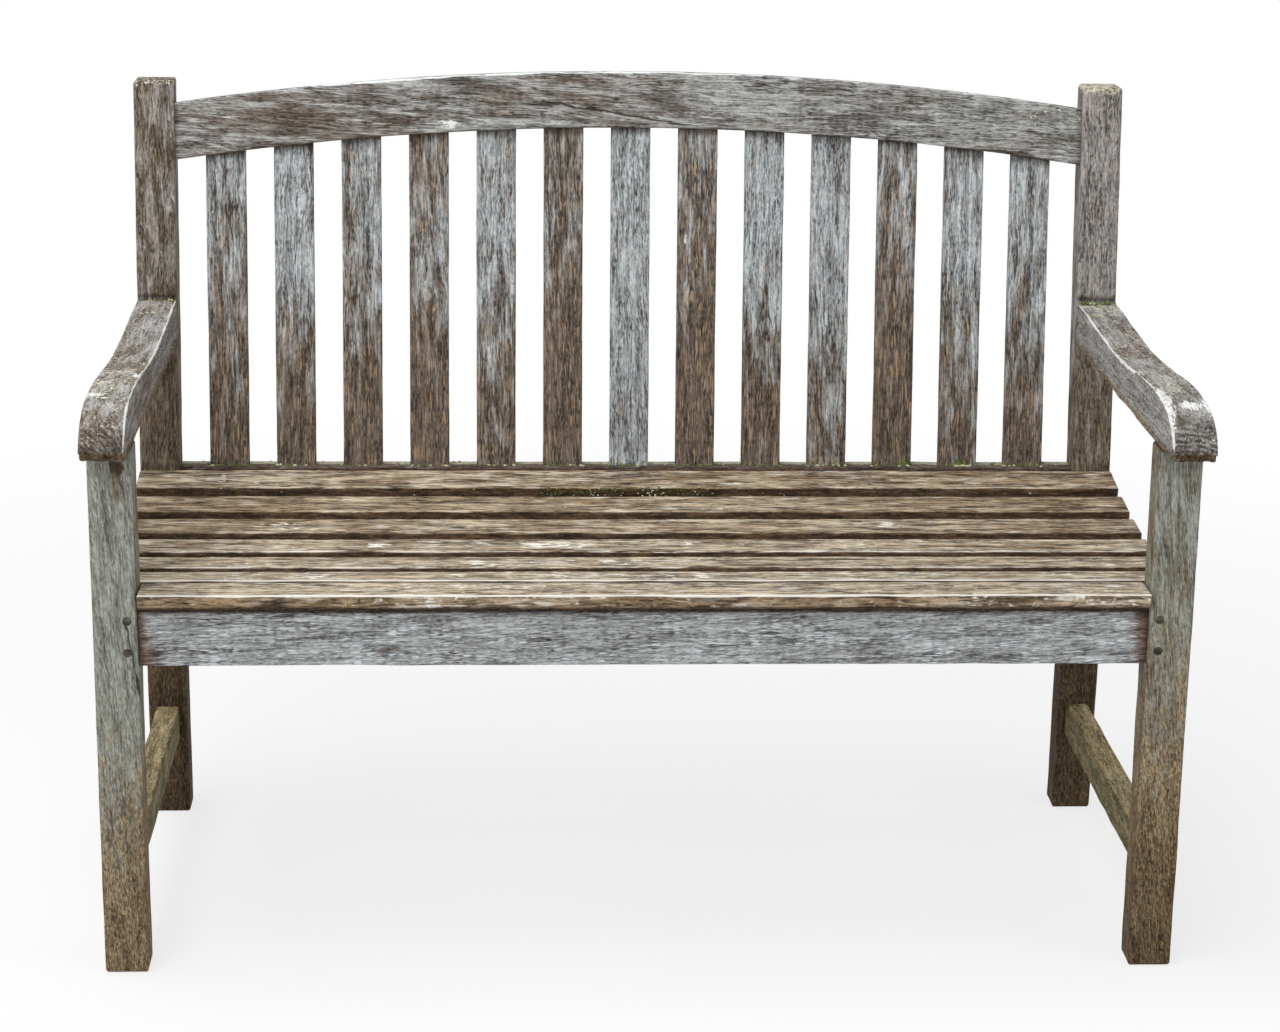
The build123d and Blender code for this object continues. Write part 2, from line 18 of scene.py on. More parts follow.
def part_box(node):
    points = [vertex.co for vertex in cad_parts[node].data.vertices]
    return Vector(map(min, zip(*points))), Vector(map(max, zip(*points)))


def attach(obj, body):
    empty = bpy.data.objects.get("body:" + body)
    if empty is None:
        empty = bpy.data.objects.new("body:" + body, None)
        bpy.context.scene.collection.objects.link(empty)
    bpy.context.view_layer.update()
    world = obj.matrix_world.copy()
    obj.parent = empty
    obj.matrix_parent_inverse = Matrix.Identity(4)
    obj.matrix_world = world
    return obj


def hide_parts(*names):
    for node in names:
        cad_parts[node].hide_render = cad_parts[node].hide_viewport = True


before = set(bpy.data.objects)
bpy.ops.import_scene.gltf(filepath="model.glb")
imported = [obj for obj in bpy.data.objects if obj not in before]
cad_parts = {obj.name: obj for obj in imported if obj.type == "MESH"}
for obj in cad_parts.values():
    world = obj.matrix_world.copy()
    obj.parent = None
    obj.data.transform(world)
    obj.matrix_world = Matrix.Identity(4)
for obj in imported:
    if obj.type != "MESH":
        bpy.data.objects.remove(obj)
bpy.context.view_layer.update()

# %% [markdown]
# ## Camera
#
# A camera can be aimed with a constraint, but three plain turns say more: how far it looks to the right,
# how far down, and how much it leans. The lens is long, so that the legs stay nearly parallel.

# %% Camera
camera_spot = Vector((-0.16779, -3.38474, 1.43873))
camera_right = 0.0505  # radians
camera_down = 0.2819
camera_lean = 0.0142
camera_lens = 85.1  # millimetres, on Blender's own 36 mm sensor


def add_object(name, data):
    """A new object in the scene, which holds a mesh, a lamp or a camera."""
    made = bpy.data.objects.new(name, data)
    bpy.context.scene.collection.objects.link(made)
    return made


camera_data = bpy.data.cameras.new("camera")
camera_data.lens = camera_lens
camera = add_object("camera", camera_data)
turn_right = Matrix.Rotation(-camera_right, 4, "Z")
turn_down = Matrix.Rotation(pi / 2 - camera_down, 4, "X")
lean = Matrix.Rotation(camera_lean, 4, "Z")
camera.matrix_world = Matrix.Translation(camera_spot) @ turn_right @ turn_down @ lean
bpy.context.scene.camera = camera
print("the camera stands", round(camera_spot.length, 2), "m from the bench's origin")

# %% [markdown]
# ## Light, floor and white surroundings
#
# Grey wood shows its grain best in broad, soft light. One large lamp hangs overhead and a little to the
# left, and a weaker one fills in from the front. The world is white wherever the camera sees it, but
# lights the wood more gently than that. The floor is pale and keeps the bench's shadow.

# %% Lamps


def area_lamp(name, spot, target, size, power):
    """A square lamp that faces a point."""
    data = bpy.data.lights.new(name, "AREA")
    data.size = size
    data.energy = power
    lamp = add_object(name, data)
    lamp.location = spot
    lamp.rotation_euler = (Vector(target) - Vector(spot)).to_track_quat("-Z", "Y").to_euler()


area_lamp("overhead_lamp", (-0.9, -0.3, 3.4), (0, 0, 0.5), 2.2, 75)
area_lamp("front_lamp", (-1.2, -3.6, 2.4), (0, 0, 0.4), 2.4, 62)
area_lamp("side_lamp", (3.0, -1.6, 1.6), (0, 0, 0.5), 1.6, 14)
print("three lamps hang")

# %% World


def camera_sees(tree):
    """1 where the camera sees a thing directly, in a reflection or through glass, and 0 elsewhere."""
    path = tree.nodes.new("ShaderNodeLightPath")
    total = path.outputs["Is Camera Ray"]
    for ray in ("Is Glossy Ray", "Is Transmission Ray"):
        add = tree.nodes.new("ShaderNodeMath")
        add.operation = "ADD"
        add.use_clamp = True
        tree.links.new(total, add.inputs[0])
        tree.links.new(path.outputs[ray], add.inputs[1])
        total = add.outputs[0]
    return total


world_light = 0.42
world = bpy.data.worlds.new("surroundings")
world.use_nodes = True
bpy.context.scene.world = world
background = world.node_tree.nodes["Background"]
background.inputs["Color"].default_value = (1, 1, 1, 1)
strength = world.node_tree.nodes.new("ShaderNodeMapRange")
strength.inputs["To Min"].default_value = world_light
strength.inputs["To Max"].default_value = 1
world.node_tree.links.new(camera_sees(world.node_tree), strength.inputs["Value"])
world.node_tree.links.new(strength.outputs["Result"], background.inputs["Strength"])

bpy.context.scene.view_settings.view_transform = "Standard"
print("the world lights at", world_light, "and shows as white")

# %% Floor
floor_reach = 30.0
white_share = (0.72, 1.0)  # how much of the floor is plain white, under the bench and far from it
shadow_reach = (1.0, 2.4)  # metres from the bench over which the shadow fades out

floor_mesh = bpy.data.meshes.new("floor")
floor_corners = [(x * floor_reach, y * floor_reach, 0) for x, y in ((-1, -1), (1, -1), (1, 1), (-1, 1))]
floor_mesh.from_pydata(floor_corners, [], [(0, 1, 2, 3)])
floor = add_object("floor", floor_mesh)
floor_material = bpy.data.materials.new("pale_floor")
floor_material.use_nodes = True
nodes = floor_material.node_tree.nodes
links = floor_material.node_tree.links
nodes.clear()
matt = nodes.new("ShaderNodeBsdfDiffuse")
matt.inputs["Color"].default_value = (0.86, 0.86, 0.86, 1)
glow = nodes.new("ShaderNodeEmission")
place = nodes.new("ShaderNodeNewGeometry")
distance = nodes.new("ShaderNodeVectorMath")
distance.operation = "LENGTH"
fade = nodes.new("ShaderNodeMapRange")
fade.interpolation_type = "SMOOTHSTEP"
share = nodes.new("ShaderNodeMath")
share.operation = "MULTIPLY"
mix = nodes.new("ShaderNodeMixShader")
surface = nodes.new("ShaderNodeOutputMaterial")
for socket, value in zip(("From Min", "From Max", "To Min", "To Max"), shadow_reach + white_share):
    fade.inputs[socket].default_value = value
links.new(place.outputs["Position"], distance.inputs[0])
links.new(distance.outputs["Value"], fade.inputs["Value"])
links.new(camera_sees(floor_material.node_tree), share.inputs[0])
links.new(fade.outputs["Result"], share.inputs[1])
links.new(share.outputs[0], mix.inputs["Fac"])
links.new(matt.outputs[0], mix.inputs[1])
links.new(glow.outputs[0], mix.inputs[2])
links.new(mix.outputs[0], surface.inputs["Surface"])
floor_mesh.materials.append(floor_material)
print("the floor reaches", floor_reach, "m each way")

# %% [markdown]
# ## A board as rings of points
#
# A plank could be a cube with a bevel, but then its edges would all be alike. Here each board is a stack
# of rings. Every ring is the board's section, a rectangle with four rounded corners, and the rounding is
# different from ring to ring and from corner to corner, as it is on wood that has been sat on and rained on.
# The rings can follow a bent or curved board just as well as a straight one.

# %% One turn round a section


def section_turn(face_columns, edge_columns, corner_columns=4):
    """Once round a section: where each point stands on its straight sides, which way it faces, its corner."""
    stand, out, corner = [], [], []
    for quarter in range(4):
        columns = face_columns if quarter % 2 else edge_columns
        turned = np.array(((0, -1), (1, 0))) if quarter else np.eye(2)
        spin = np.linalg.matrix_power(turned, quarter)
        for place in np.linspace(-1, 1, columns + 2)[1:-1]:
            stand.append(spin @ (1, place))
            out.append(spin @ (1, 0))
            corner.append((quarter + (0 if place > 0 else -1)) % 4)
        for angle in np.linspace(0, pi / 2, corner_columns + 1):
            stand.append(spin @ (1, 1))
            out.append(spin @ (cos(angle), sin(angle)))
            corner.append(quarter)
    return np.array(stand, float), np.array(out, float), np.array(corner)


def ring_stations(length, spacing, end_round):
    """Where the rings stand along a board, how far in they lie at its ends, and how small they are."""
    quarter = np.linspace(0, pi / 2, 5)
    rounded = end_round * (1 - np.cos(quarter))
    inset = end_round * (1 - np.sin(quarter))
    count = max(int((length - 2 * end_round) / spacing), 1)
    middle = np.linspace(end_round, length - end_round, count + 1)[1:-1]
    cap = np.array((0.03, 0.3, 0.55, 0.8))
    along = np.concatenate([0 * cap, rounded, middle, length - rounded[::-1], 0 * cap + length])
    inward = np.concatenate([0 * cap + end_round, inset, 0 * middle, inset[::-1], 0 * cap + end_round])
    scale = np.concatenate([cap, 0 * rounded + 1, 0 * middle + 1, 0 * rounded + 1, cap[::-1]])
    return along, inward, scale


print("a section of", len(section_turn(12, 4)[0]), "points is drawn")

# %% [markdown]
# ## Wear
#
# Smooth random values are made from a coarse grid of random numbers with soft steps between them. Long
# cells give slow waves along a board, and short ones give nicks. The waves swing about the sawn surface,
# so a worn board keeps its size. The nicks only cut into it.

# %% Smooth random values


def undulation(rng, along, around, cell, columns):
    """Smooth values from 0 to 1 on rings and columns, which meet where a turn closes."""
    row = along / cell
    row_low = np.floor(row).astype(int)
    row_share = row - row_low
    row_share = (row_share**2 * (3 - 2 * row_share))[:, None]
    column = around * columns
    column_low = np.floor(column).astype(int)
    column_share = column - column_low
    column_share = (column_share**2 * (3 - 2 * column_share))[None, :]
    grid = rng.uniform(0, 1, (row_low.max() + 2, columns))
    near, far = column_low % columns, (column_low + 1) % columns
    low = grid[row_low][:, near] * (1 - column_share) + grid[row_low][:, far] * column_share
    high = grid[row_low + 1][:, near] * (1 - column_share) + grid[row_low + 1][:, far] * column_share
    return low * (1 - row_share) + high * row_share


def smooth_step(value, low, high):
    """0 below low, 1 above high, and a soft change between."""
    share = np.clip((value - low) / (high - low), 0, 1)
    return share**2 * (3 - 2 * share)


def faces_front(normals, low=0.5, high=0.9):
    """1 where a surface looks to the front of the bench, and 0 where it looks elsewhere."""
    return smooth_step(-normals[:, 1], low, high)


def faces_up(normals, low=0.5, high=0.9):
    """1 where a surface looks up, and 0 where it looks elsewhere."""
    return smooth_step(normals[:, 2], low, high)


print("a quarter of the way up, a soft step is", smooth_step(0.25, 0, 1))

# %% Rings into a mesh


def mesh_of_rings(name, rings):
    """A closed mesh through an array of rings, each an array of points."""
    count, columns = rings.shape[:2]
    index = np.arange(count * columns).reshape(count, columns)
    following = np.roll(index, -1, 1)
    quads = np.stack([index[:-1], following[:-1], following[1:], index[1:]], -1).reshape(-1, 4)
    faces = quads.tolist() + [index[0][::-1].tolist(), index[-1].tolist()]
    mesh = bpy.data.meshes.new(name)
    mesh.from_pydata(rings.reshape(-1, 3).tolist(), [], faces)
    mesh.shade_smooth()
    return mesh


def normals_of(mesh):
    """Which way the surface looks at each point."""
    flat = np.zeros(len(mesh.vertices) * 3, np.float32)
    mesh.vertices.foreach_get("normal", flat)
    return flat.reshape(-1, 3)


print("rings can be closed into a mesh")

# %% [markdown]
# ## What the wood is told
#
# A mesh can carry numbers at its points, and a material can read them. Each board carries its place in the
# grain, how bleached, rubbed and soiled it is, what grows on it, how much painted shade falls on it and how
# dark its joints are, and where its knot and its longest crack lie. One wood can then dress boards that have
# aged in different ways.

# %% Numbers on a mesh
far_away = 9.0  # metres, where a board without a knot keeps it


def paint(mesh, name, *values):
    """Stores three numbers at each point, for the wood to read."""
    columns = [np.broadcast_to(value, len(mesh.vertices)) for value in values]
    layer = mesh.attributes.new(name, "FLOAT_VECTOR", "POINT")
    layer.data.foreach_set("vector", np.stack(columns, 1).astype(np.float32).ravel())


def offsets(points, grain, place):
    """How far each point lies from a place, along and across the grain."""
    if place is None:
        return np.full(points.shape, far_away).T
    return ((points - np.array(place)) @ grain.T).T


def blobs(points, *spots):
    """1 inside some round or long spots, given by x, z and their half sizes, and 0 well outside them."""
    total = np.zeros(len(points))
    for x, z, half_x, half_z in spots:
        away = np.hypot((points[:, 0] - x) / half_x, (points[:, 2] - z) / half_z)
        total = np.maximum(total, smooth_step(away, 1.5, 0.5))
    return total


print("a board without a knot keeps it", far_away, "m away")

# %% What each board tells its wood
browner_below = 0.45  # how much less a face bleaches that looks down
pith_range = (0.035, 0.12)  # how far from the middle of the tree a board was sawn
stray = 0.02  # how far its grain runs out of straight, as a slope


def tell(mesh, grain, rng, bleach=0.5, rub=0.0, band=0.0, soil=0.0, moss=0.0, lichen=0.0, stain=0.0,
         shade=0.0, scar=0.0, knot=None, crack=None, crack_reach=0.05, crack_lean=0.0, crack_width=1.0,
         arris=0.0, lean=0.0, pith=None):
    """Gives a mesh all that the wood reads. A layer is a number or a function of points and normals."""
    points = np.array([vertex.co for vertex in mesh.vertices])
    normals = normals_of(mesh)
    grain = np.array(grain, float)
    shift = np.array((rng.uniform(0, 9), rng.uniform(*pith_range), rng.uniform(*pith_range)))
    if pith:
        shift[1:] = pith
    place = (points - points.mean(0)) @ grain.T
    place[:, 1] -= (lean + rng.uniform(-stray, stray)) * place[:, 0]
    paint(mesh, "grain", *(place + shift).T)
    bleach, rub, band, soil, moss, lichen, stain, shade, scar = (
        layer(points, normals) if callable(layer) else layer
        for layer in (bleach, rub, band, soil, moss, lichen, stain, shade, scar))
    sheltered = browner_below * smooth_step(-normals[:, 2], 0.3, 0.9)
    paint(mesh, "weather", bleach - sheltered, np.maximum(arris * rub, band), soil)
    paint(mesh, "growth", moss, lichen, stain)
    # The first number is painted shade on hidden and overhung faces, with the dark of joints and dirt.
    paint(mesh, "shade_and_joint", shade, np.abs(normals @ grain[0]), scar)
    paint(mesh, "knot", *offsets(points, grain, knot))
    along, across, through = offsets(points, grain, crack)
    paint(mesh, "crack", along / crack_reach, (across - crack_lean * along) / crack_width, through)


print("boards are sawn", pith_range, "m from the middle of the tree")

# %% Dressing a node


def dress(name, mesh, node, slot):
    """Makes a piece of the mesh, in its wood, and lets it stand for the node."""
    piece = add_object(name, mesh)
    mesh.materials.append(woods[slot])
    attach(piece, "root")
    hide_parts(node)


print("a piece can take a node's place")

# %% A worn board
rounding_wave = 0.035  # metres along the board over which the rounding of an edge changes
hollow, hollow_wave, hollow_cells = 0.0005, 0.06, 9  # slow hollows on the faces: depth, length, cells round
flute, flute_wave, flute_cells = 0.0003, 0.025, 48  # ridges along the grain
nick, nick_wave, nick_cells = 0.0016, 0.011, 24  # bites out of the edges


def board(name, node, slot, path, length, grain, seed, edge=0.003, columns=(12, 4), spacing=0.006,
          end_round=0.002, ragged=None, **layers):
    """One worn board that replaces a node. path gives the rings' middles, directions and half sizes."""
    rng = np.random.default_rng(seed)
    stand, out, corner = section_turn(*columns)
    along, inward, scale = ring_stations(length, spacing, end_round)
    origin, across, through, half = path(along)
    half = (half - inward[:, None]) * scale[:, None]
    radius = edge * (0.5 + 0.9 * undulation(rng, along, corner / 4, rounding_wave, 4))
    radius = np.clip(radius - inward[:, None], edge * 0.15, None) * scale[:, None]
    place = stand[None] * (half[:, None] - radius[..., None]) + out[None] * radius[..., None]

    step = np.linalg.norm(np.roll(place[len(along) // 2], -1, 0) - place[len(along) // 2], axis=1)
    around = np.concatenate([[0], np.cumsum(step)[:-1]]) / step.sum()
    cut = hollow * (undulation(rng, along, around, hollow_wave, hollow_cells) - 0.5)
    cut += flute * (undulation(rng, along, around, flute_wave, flute_cells) - 0.5)
    on_corner = (np.abs(out).max(1) < 0.999).astype(float)
    bite = smooth_step(undulation(rng, along, around, nick_wave, nick_cells), 0.78, 1.0)
    cut += nick * bite * on_corner
    whole = (scale == 1).astype(float)[:, None]
    place -= out[None] * (cut * whole)[..., None]
    rings = origin[:, None] + place[..., :1] * across[:, None] + place[..., 1:] * through[:, None]
    if ragged:
        rings = ragged(rings, rng)

    mesh = mesh_of_rings(name, rings)
    tell(mesh, grain, rng, arris=np.broadcast_to(on_corner[None], rings.shape[:2]).ravel(), **layers)
    dress(name, mesh, node, slot)


print("nicks bite", 1000 * nick, "mm into an edge at most")

# %% The path of a straight board


def straight(start, along, across, through, half_width, half_thickness):
    """The path of a straight board, for board()."""
    def path(distance):
        ones = np.ones((len(distance), 1))
        origin = np.array(start) + distance[:, None] * np.array(along)
        half = ones * np.array((half_width, half_thickness))
        return origin, ones * np.array(across), ones * np.array(through), half
    return path


print("a straight board needs a start, three directions and two half sizes")

# %% [markdown]
# ## Weathered teak
#
# Outdoors, rain and sun eat the soft wood between the fibres and wash the brown out of the rest. What is
# left is a silver skin of short, crisp fibres with dark open pores, tan streaks where the brown lasts, and
# brown wherever a place is sheltered. An image could show that on one face only. This wood is solid: its
# patterns are drawn out along each board's own grain, so faces, edges and sawn ends all agree. Soft noises
# alone look like fur, so the fibres and pores are the cells of a cellular pattern, which end sharply.

# %% A small writer for shader nodes


class Shader:
    """Adds nodes to a material. Each method returns the new node's output. Lengths are in millimetres."""

    def __init__(self, name):
        self.material = bpy.data.materials.new(name)
        self.material.use_nodes = True
        self.tree = self.material.node_tree
        self.tree.nodes.clear()

    def node(self, kind, inputs, **settings):
        made = self.tree.nodes.new(kind)
        for key, value in settings.items():
            setattr(made, key, value)
        for key, value in inputs.items():
            if isinstance(value, bpy.types.NodeSocket):
                self.tree.links.new(value, made.inputs[key])
            else:
                made.inputs[key].default_value = value
        return made

    def attribute(self, name):
        return self.node("ShaderNodeAttribute", {}, attribute_name=name).outputs["Vector"]

    def split(self, vector):
        return self.node("ShaderNodeSeparateXYZ", {0: vector}).outputs

    def math(self, operation, first, second=0.0, third=0.0, clamp=False):
        inputs = {0: first, 1: second, 2: third}
        return self.node("ShaderNodeMath", inputs, operation=operation, use_clamp=clamp).outputs[0]

    def times(self, *values):
        total = values[0]
        for value in values[1:]:
            total = self.math("MULTIPLY", total, value)
        return total

    def vector(self, operation, first, second=(0, 0, 0)):
        made = self.node("ShaderNodeVectorMath", {0: first, 1: second}, operation=operation)
        return made.outputs["Value" if operation == "LENGTH" else "Vector"]

    def soft(self, value, low, high, start=0.0, end=1.0):
        """A soft change from start to end, as value goes from low to high."""
        inputs = {"Value": value, "From Min": low, "From Max": high, "To Min": start, "To Max": end}
        return self.node("ShaderNodeMapRange", inputs, interpolation_type="SMOOTHSTEP").outputs["Result"]

    def swing(self, start, *parts):
        """start, moved by how far each value lies from one half, times its weight."""
        total = self.math("ADD", start, -0.5 * sum(weight for value, weight in parts))
        for value, weight in parts:
            total = self.math("MULTIPLY_ADD", value, weight, total)
        return total

    def mix(self, share, first, second):
        """Two colours mixed. 6 and 7 are the node's sockets for colours."""
        return self.node("ShaderNodeMix", {0: share, 6: first, 7: second}, data_type="RGBA").outputs[2]

    def ramp(self, value, stops):
        made = self.node("ShaderNodeValToRGB", {0: value})
        points = made.color_ramp.elements
        while len(points) < len(stops):
            points.new(0.5)
        for point, (place, color) in zip(points, stops):
            point.position = place
            point.color = (*color, 1)
        return made.outputs["Color"]

    def finish(self, color, roughness, height, **fixed):
        """Ends the material in one skin, whose bump has a height in metres. fixed holds plain numbers."""
        bump = self.node("ShaderNodeBump", {"Strength": 1.0, "Distance": 1.0, "Height": height})
        inputs = {"Base Color": color, "Roughness": roughness, "Normal": bump.outputs[0]}
        for key, value in fixed.items():
            inputs[key.replace("_", " ")] = value
        skin = self.node("ShaderNodeBsdfPrincipled", inputs)
        self.node("ShaderNodeOutputMaterial", {"Surface": skin.outputs[0]})
        return self.material


print("the shader writer is ready")

# %% Patterns for it to write


class Pattern(Shader):
    """A shader writer that also knows noises and marks, drawn out along the grain."""

    def drawn_out(self, coordinates, along, across, shift):
        """Coordinates in cells that are so long along the grain and so wide across it."""
        inputs = {0: coordinates, 1: (1000 / along, 1000 / across, 1000 / across), 2: (shift, shift, shift)}
        return self.node("ShaderNodeVectorMath", inputs, operation="MULTIPLY_ADD").outputs["Vector"]

    def noise(self, coordinates, along, across, detail=2.0, rough=0.55, shift=0.0, color=False):
        inputs = {"Vector": self.drawn_out(coordinates, along, across, shift), "Scale": 1.0,
                  "Detail": detail, "Roughness": rough}
        return self.node("ShaderNodeTexNoise", inputs).outputs["Color" if color else "Fac"]

    def waves(self, value):
        """Noise along a single number."""
        inputs = {"W": value, "Scale": 1.0, "Detail": 1.0}
        return self.node("ShaderNodeTexNoise", inputs, noise_dimensions="1D").outputs["Fac"]

    def cells(self, coordinates, along, across, shift=0.0):
        """A random number for each cell, and the distance from the cell's middle."""
        inputs = {"Vector": self.drawn_out(coordinates, along, across, shift), "Scale": 1.0}
        made = self.node("ShaderNodeTexVoronoi", inputs).outputs
        return self.split(made["Color"])[0], made["Distance"]

    def dashes(self, coordinates, along, across, share, shift=0.0):
        """Short marks along the grain, in a share of the cells."""
        number, distance = self.cells(coordinates, along, across, shift)
        return self.times(self.math("LESS_THAN", number, share), self.soft(distance, 0.62, 0.38))

    def line(self, value, width):
        """1 along the line where a value passes one half."""
        return self.soft(self.math("ABSOLUTE", self.math("SUBTRACT", value, 0.5)), width, width / 3)


print("and so are its patterns")

# %% The noises of one board
knot_radius = 0.008
knot_pull = 0.6  # how strongly the grain parts round a knot
ring_width = 0.0052  # metres from one year's wood to the next
grain_wander = 0.009  # metres to either side


class Teak(Pattern):
    """A writer that reads a board's layers and holds the noises that its colours share."""

    def __init__(self, name, coarse):
        super().__init__(name)
        self.coarse = coarse
        self.rises = []
        self.grain = self.attribute("grain")
        self.bleach, self.worn, self.soil = self.split(self.attribute("weather"))
        self.moss, self.lichen, self.stain = self.split(self.attribute("growth"))
        # shade is painted shade on hidden and overhung faces, with the dark of joints and dirt
        self.shade, self.end_grain, self.scar = self.split(self.attribute("shade_and_joint"))
        self.fibre = self.wandering_grain()
        self.ring_radius = self.vector("LENGTH", self.vector("MULTIPLY", self.fibre, (0.0, 1.0, 1.0)))
        self.rings = self.waves(self.times(self.ring_radius, 1000 / 2.6))
        self.patches = self.noise(self.fibre, 60, 11, 3.0, 0.6, shift=3.1)
        self.clouds = self.noise(self.grain, 190, 60, shift=11.7)
        self.bundles = self.cells(self.fibre, 24 * coarse, 2.0 * coarse)[0]
        self.streaks = self.noise(self.fibre, 14 * coarse, 1.4 * coarse, 3.0, 0.65)
        self.hairs = self.noise(self.fibre, 4.5, 0.7, 1.0, shift=7.3)
        self.mottle = self.noise(self.fibre, 6 * coarse, 2.6 * sqrt(coarse), 3.0, 0.75, shift=97.0)
        self.spread = self.noise(self.grain, 14, 9, 4.0, 0.65, shift=51.0)

    def wandering_grain(self):
        """Coordinates along the grain, which wanders a little to either side and parts round a knot."""
        wander = self.vector("SUBTRACT", self.noise(self.grain, 75, 18, color=True), (0.5, 0.5, 0.5))
        wander = self.vector("MULTIPLY", wander, (0.0, grain_wander, grain_wander))
        knot = self.attribute("knot")
        distance = self.times(self.vector("LENGTH", knot), 1 / knot_radius)
        pull = self.times(self.math("EXPONENT", self.times(distance, distance, -0.2)), knot_pull)
        aside = self.vector("MULTIPLY", knot, (0, 1, 1))
        parted = self.node("ShaderNodeVectorMath", {0: aside, "Scale": pull}, operation="SCALE")
        return self.vector("SUBTRACT", self.vector("ADD", self.grain, wander), parted.outputs["Vector"])

    def rise(self, mask, height):
        """Notes that the wood stands out where the mask is 1, by a height in metres, or sinks."""
        self.rises.append((mask, height))
        return mask


print("a knot bends the grain within about", 2 * knot_radius, "m of it")

# %% [markdown]
# ## The wood's colours, one over another
#
# A painter glazes weathered wood in layers, and the material does the same: brown or silver fibres first,
# then pores and cracks, rubbed and scraped places, stains, soil, lichen and moss, and last the painted shade
# on hidden and overhung faces, with the dark of the joints. Each layer is a function that takes the colour so
# far and mixes its own over it by a mask.
# Where a mask also stands up or sinks in, it is noted, and all the heights make one bump at the end.

# %% Fibres, brown or silvered


def shades(tone, dark=0.32, light=1.85):
    """A tone's dark fibres, itself and its pale fibres, on a ramp."""
    pale = [min(part * light, 0.9) for part in tone]
    return [(0.0, [part * dark for part in tone]), (0.5, tone), (1.0, pale)]


def fibre_colors(s, brown, grey, contrast):
    """Brown fibres where the wood is sheltered, and grey ones where it has bleached."""
    parts = ((s.bundles, 0.34), (s.streaks, 1.5), (s.hairs, 0.9), (s.mottle, 1.4), (s.patches, 0.9),
             (s.rings, 0.6))
    s.value = s.swing(0.5, *((part, weight * contrast) for part, weight in parts))
    silvered = s.swing(s.bleach, (s.patches, 1.5), (s.clouds, 1.3), (s.bundles, 0.25))
    s.silvered = s.soft(silvered, 0.1, 0.9)
    return s.mix(s.silvered, s.ramp(s.value, shades(brown)), s.ramp(s.value, shades(grey)))


print("a tone of one half has fibres from", shades((0.5,))[0][1], "to", shades((0.5,))[2][1])

# %% Marks along the grain
black_brown = (0.022, 0.015, 0.011, 1)
warm_tan = (0.46, 0.33, 0.215, 1)


def grain_marks(s, color, pale, pores, flecks, fleck_size, warm, checks):
    """Tan streaks, dark open pores, pale raised fibres and long hair cracks."""
    tans = s.times(s.dashes(s.fibre, 22 * s.coarse, 1.7 * s.coarse, 0.25, shift=71.0),
                   s.soft(s.silvered, 0.0, 1.0, 1.0, 0.45), warm)
    color = s.mix(tans, color, warm_tan)
    pitted = s.rise(s.times(s.dashes(s.fibre, 9 * s.coarse, 1.3 * s.coarse, 0.36, shift=19.0),
                            s.soft(s.patches, 0.60, 0.42)), -0.0004)
    color = s.mix(s.times(pitted, pores), color, black_brown)
    raised = s.rise(s.times(s.dashes(s.fibre, *fleck_size, 0.42, shift=29.0),
                            s.soft(s.noise(s.grain, 50, 12, shift=37.0), 0.42, 0.60),
                            s.soft(s.silvered, 0.0, 0.6, 0.3, 1.0)), 0.0002)
    color = s.mix(s.times(raised, flecks), color, (*pale, 1))
    checked = s.rise(s.times(s.line(s.noise(s.fibre, 60, 6, 1.0, shift=83.0), 0.028),
                             s.soft(s.noise(s.grain, 80, 25, shift=91.0), 0.50, 0.60), checks), -0.0006)
    return s.mix(checked, color, black_brown)


print("pores and cracks are almost black:", black_brown[:3])

# %% Sawn ends and the board's own crack


def sawn_ends(s, color, brown, sawn_dark):
    """Ends are darker, with a dark arc for each year and checks that run out from the tree's middle."""
    across = s.split(s.fibre)
    spokes = s.waves(s.times(s.math("ARCTAN2", across[2], across[1]), 70.0))
    sawn = s.soft(s.end_grain, 0.35, 0.8)
    yearly = s.math("MULTIPLY_ADD", s.ring_radius, 2 * pi / ring_width, s.times(s.rings, 4.0))
    split = s.math("MAXIMUM", s.times(s.line(spokes, 0.05), s.soft(s.clouds, 0.40, 0.55)),
                   s.times(s.soft(s.math("SINE", yearly), 0.35, 0.85), s.soft(s.spread, 0.36, 0.50)))
    split = s.rise(s.times(split, sawn), -0.0008)
    color = s.mix(s.times(sawn, sawn_dark), color, (*[part * 0.4 for part in brown], 1))
    return s.mix(s.times(split, 0.8), color, black_brown)


def own_crack(s, color):
    """One long crack, which drifts a few millimetres to either side."""
    along, across, through = s.split(s.attribute("crack"))
    drift = s.times(s.math("SUBTRACT", s.noise(s.grain, 22, 9, shift=5.0), 0.5), 0.005)
    beside = s.math("ABSOLUTE", s.math("ADD", across, drift))
    gap = s.times(s.soft(beside, 0.0009, 0.0003), s.soft(s.math("ABSOLUTE", along), 1.0, 0.8),
                  s.soft(s.math("ABSOLUTE", through), 0.012, 0.006))
    return s.mix(s.times(s.rise(gap, -0.0012), 0.85), color, black_brown)


print("a sawn end shows an arc every", 1000 * ring_width, "mm")

# %% Rubbed, scratched and scraped places


def worn_places(s, color, pale):
    """Arrises are rubbed pale, but not all the way along. Scars are scraped down to new wood."""
    rubbed = s.times(s.soft(s.swing(s.worn, (s.streaks, 0.9), (s.patches, 1.6)), 0.55, 0.8),
                     s.soft(s.worn, 0.1, 0.4))
    color = s.mix(s.times(rubbed, 0.95), color, (*pale, 1))
    scratches = s.math("MAXIMUM", s.line(s.noise(s.fibre, 48, 5 * s.coarse, 2.0, shift=23.0), 0.032),
                       s.dashes(s.fibre, 30, 1.8 * s.coarse, 0.40, shift=43.0))
    scratched = s.times(scratches, s.soft(s.swing(s.scar, (s.spread, 1.1), (s.clouds, 0.6)), 0.20, 0.36),
                        s.soft(s.scar, 0.0, 0.1))
    scraped = s.times(s.soft(s.swing(s.scar, (s.streaks, 1.1), (s.spread, 1.2)), 0.52, 0.66),
                      s.soft(s.scar, 0.0, 0.2))
    new_wood = (*[min(part * 1.1, 0.86) for part in pale], 1)
    return s.mix(s.math("MAXIMUM", scratched, scraped), color, new_wood)


print("wear bares the pale wood")

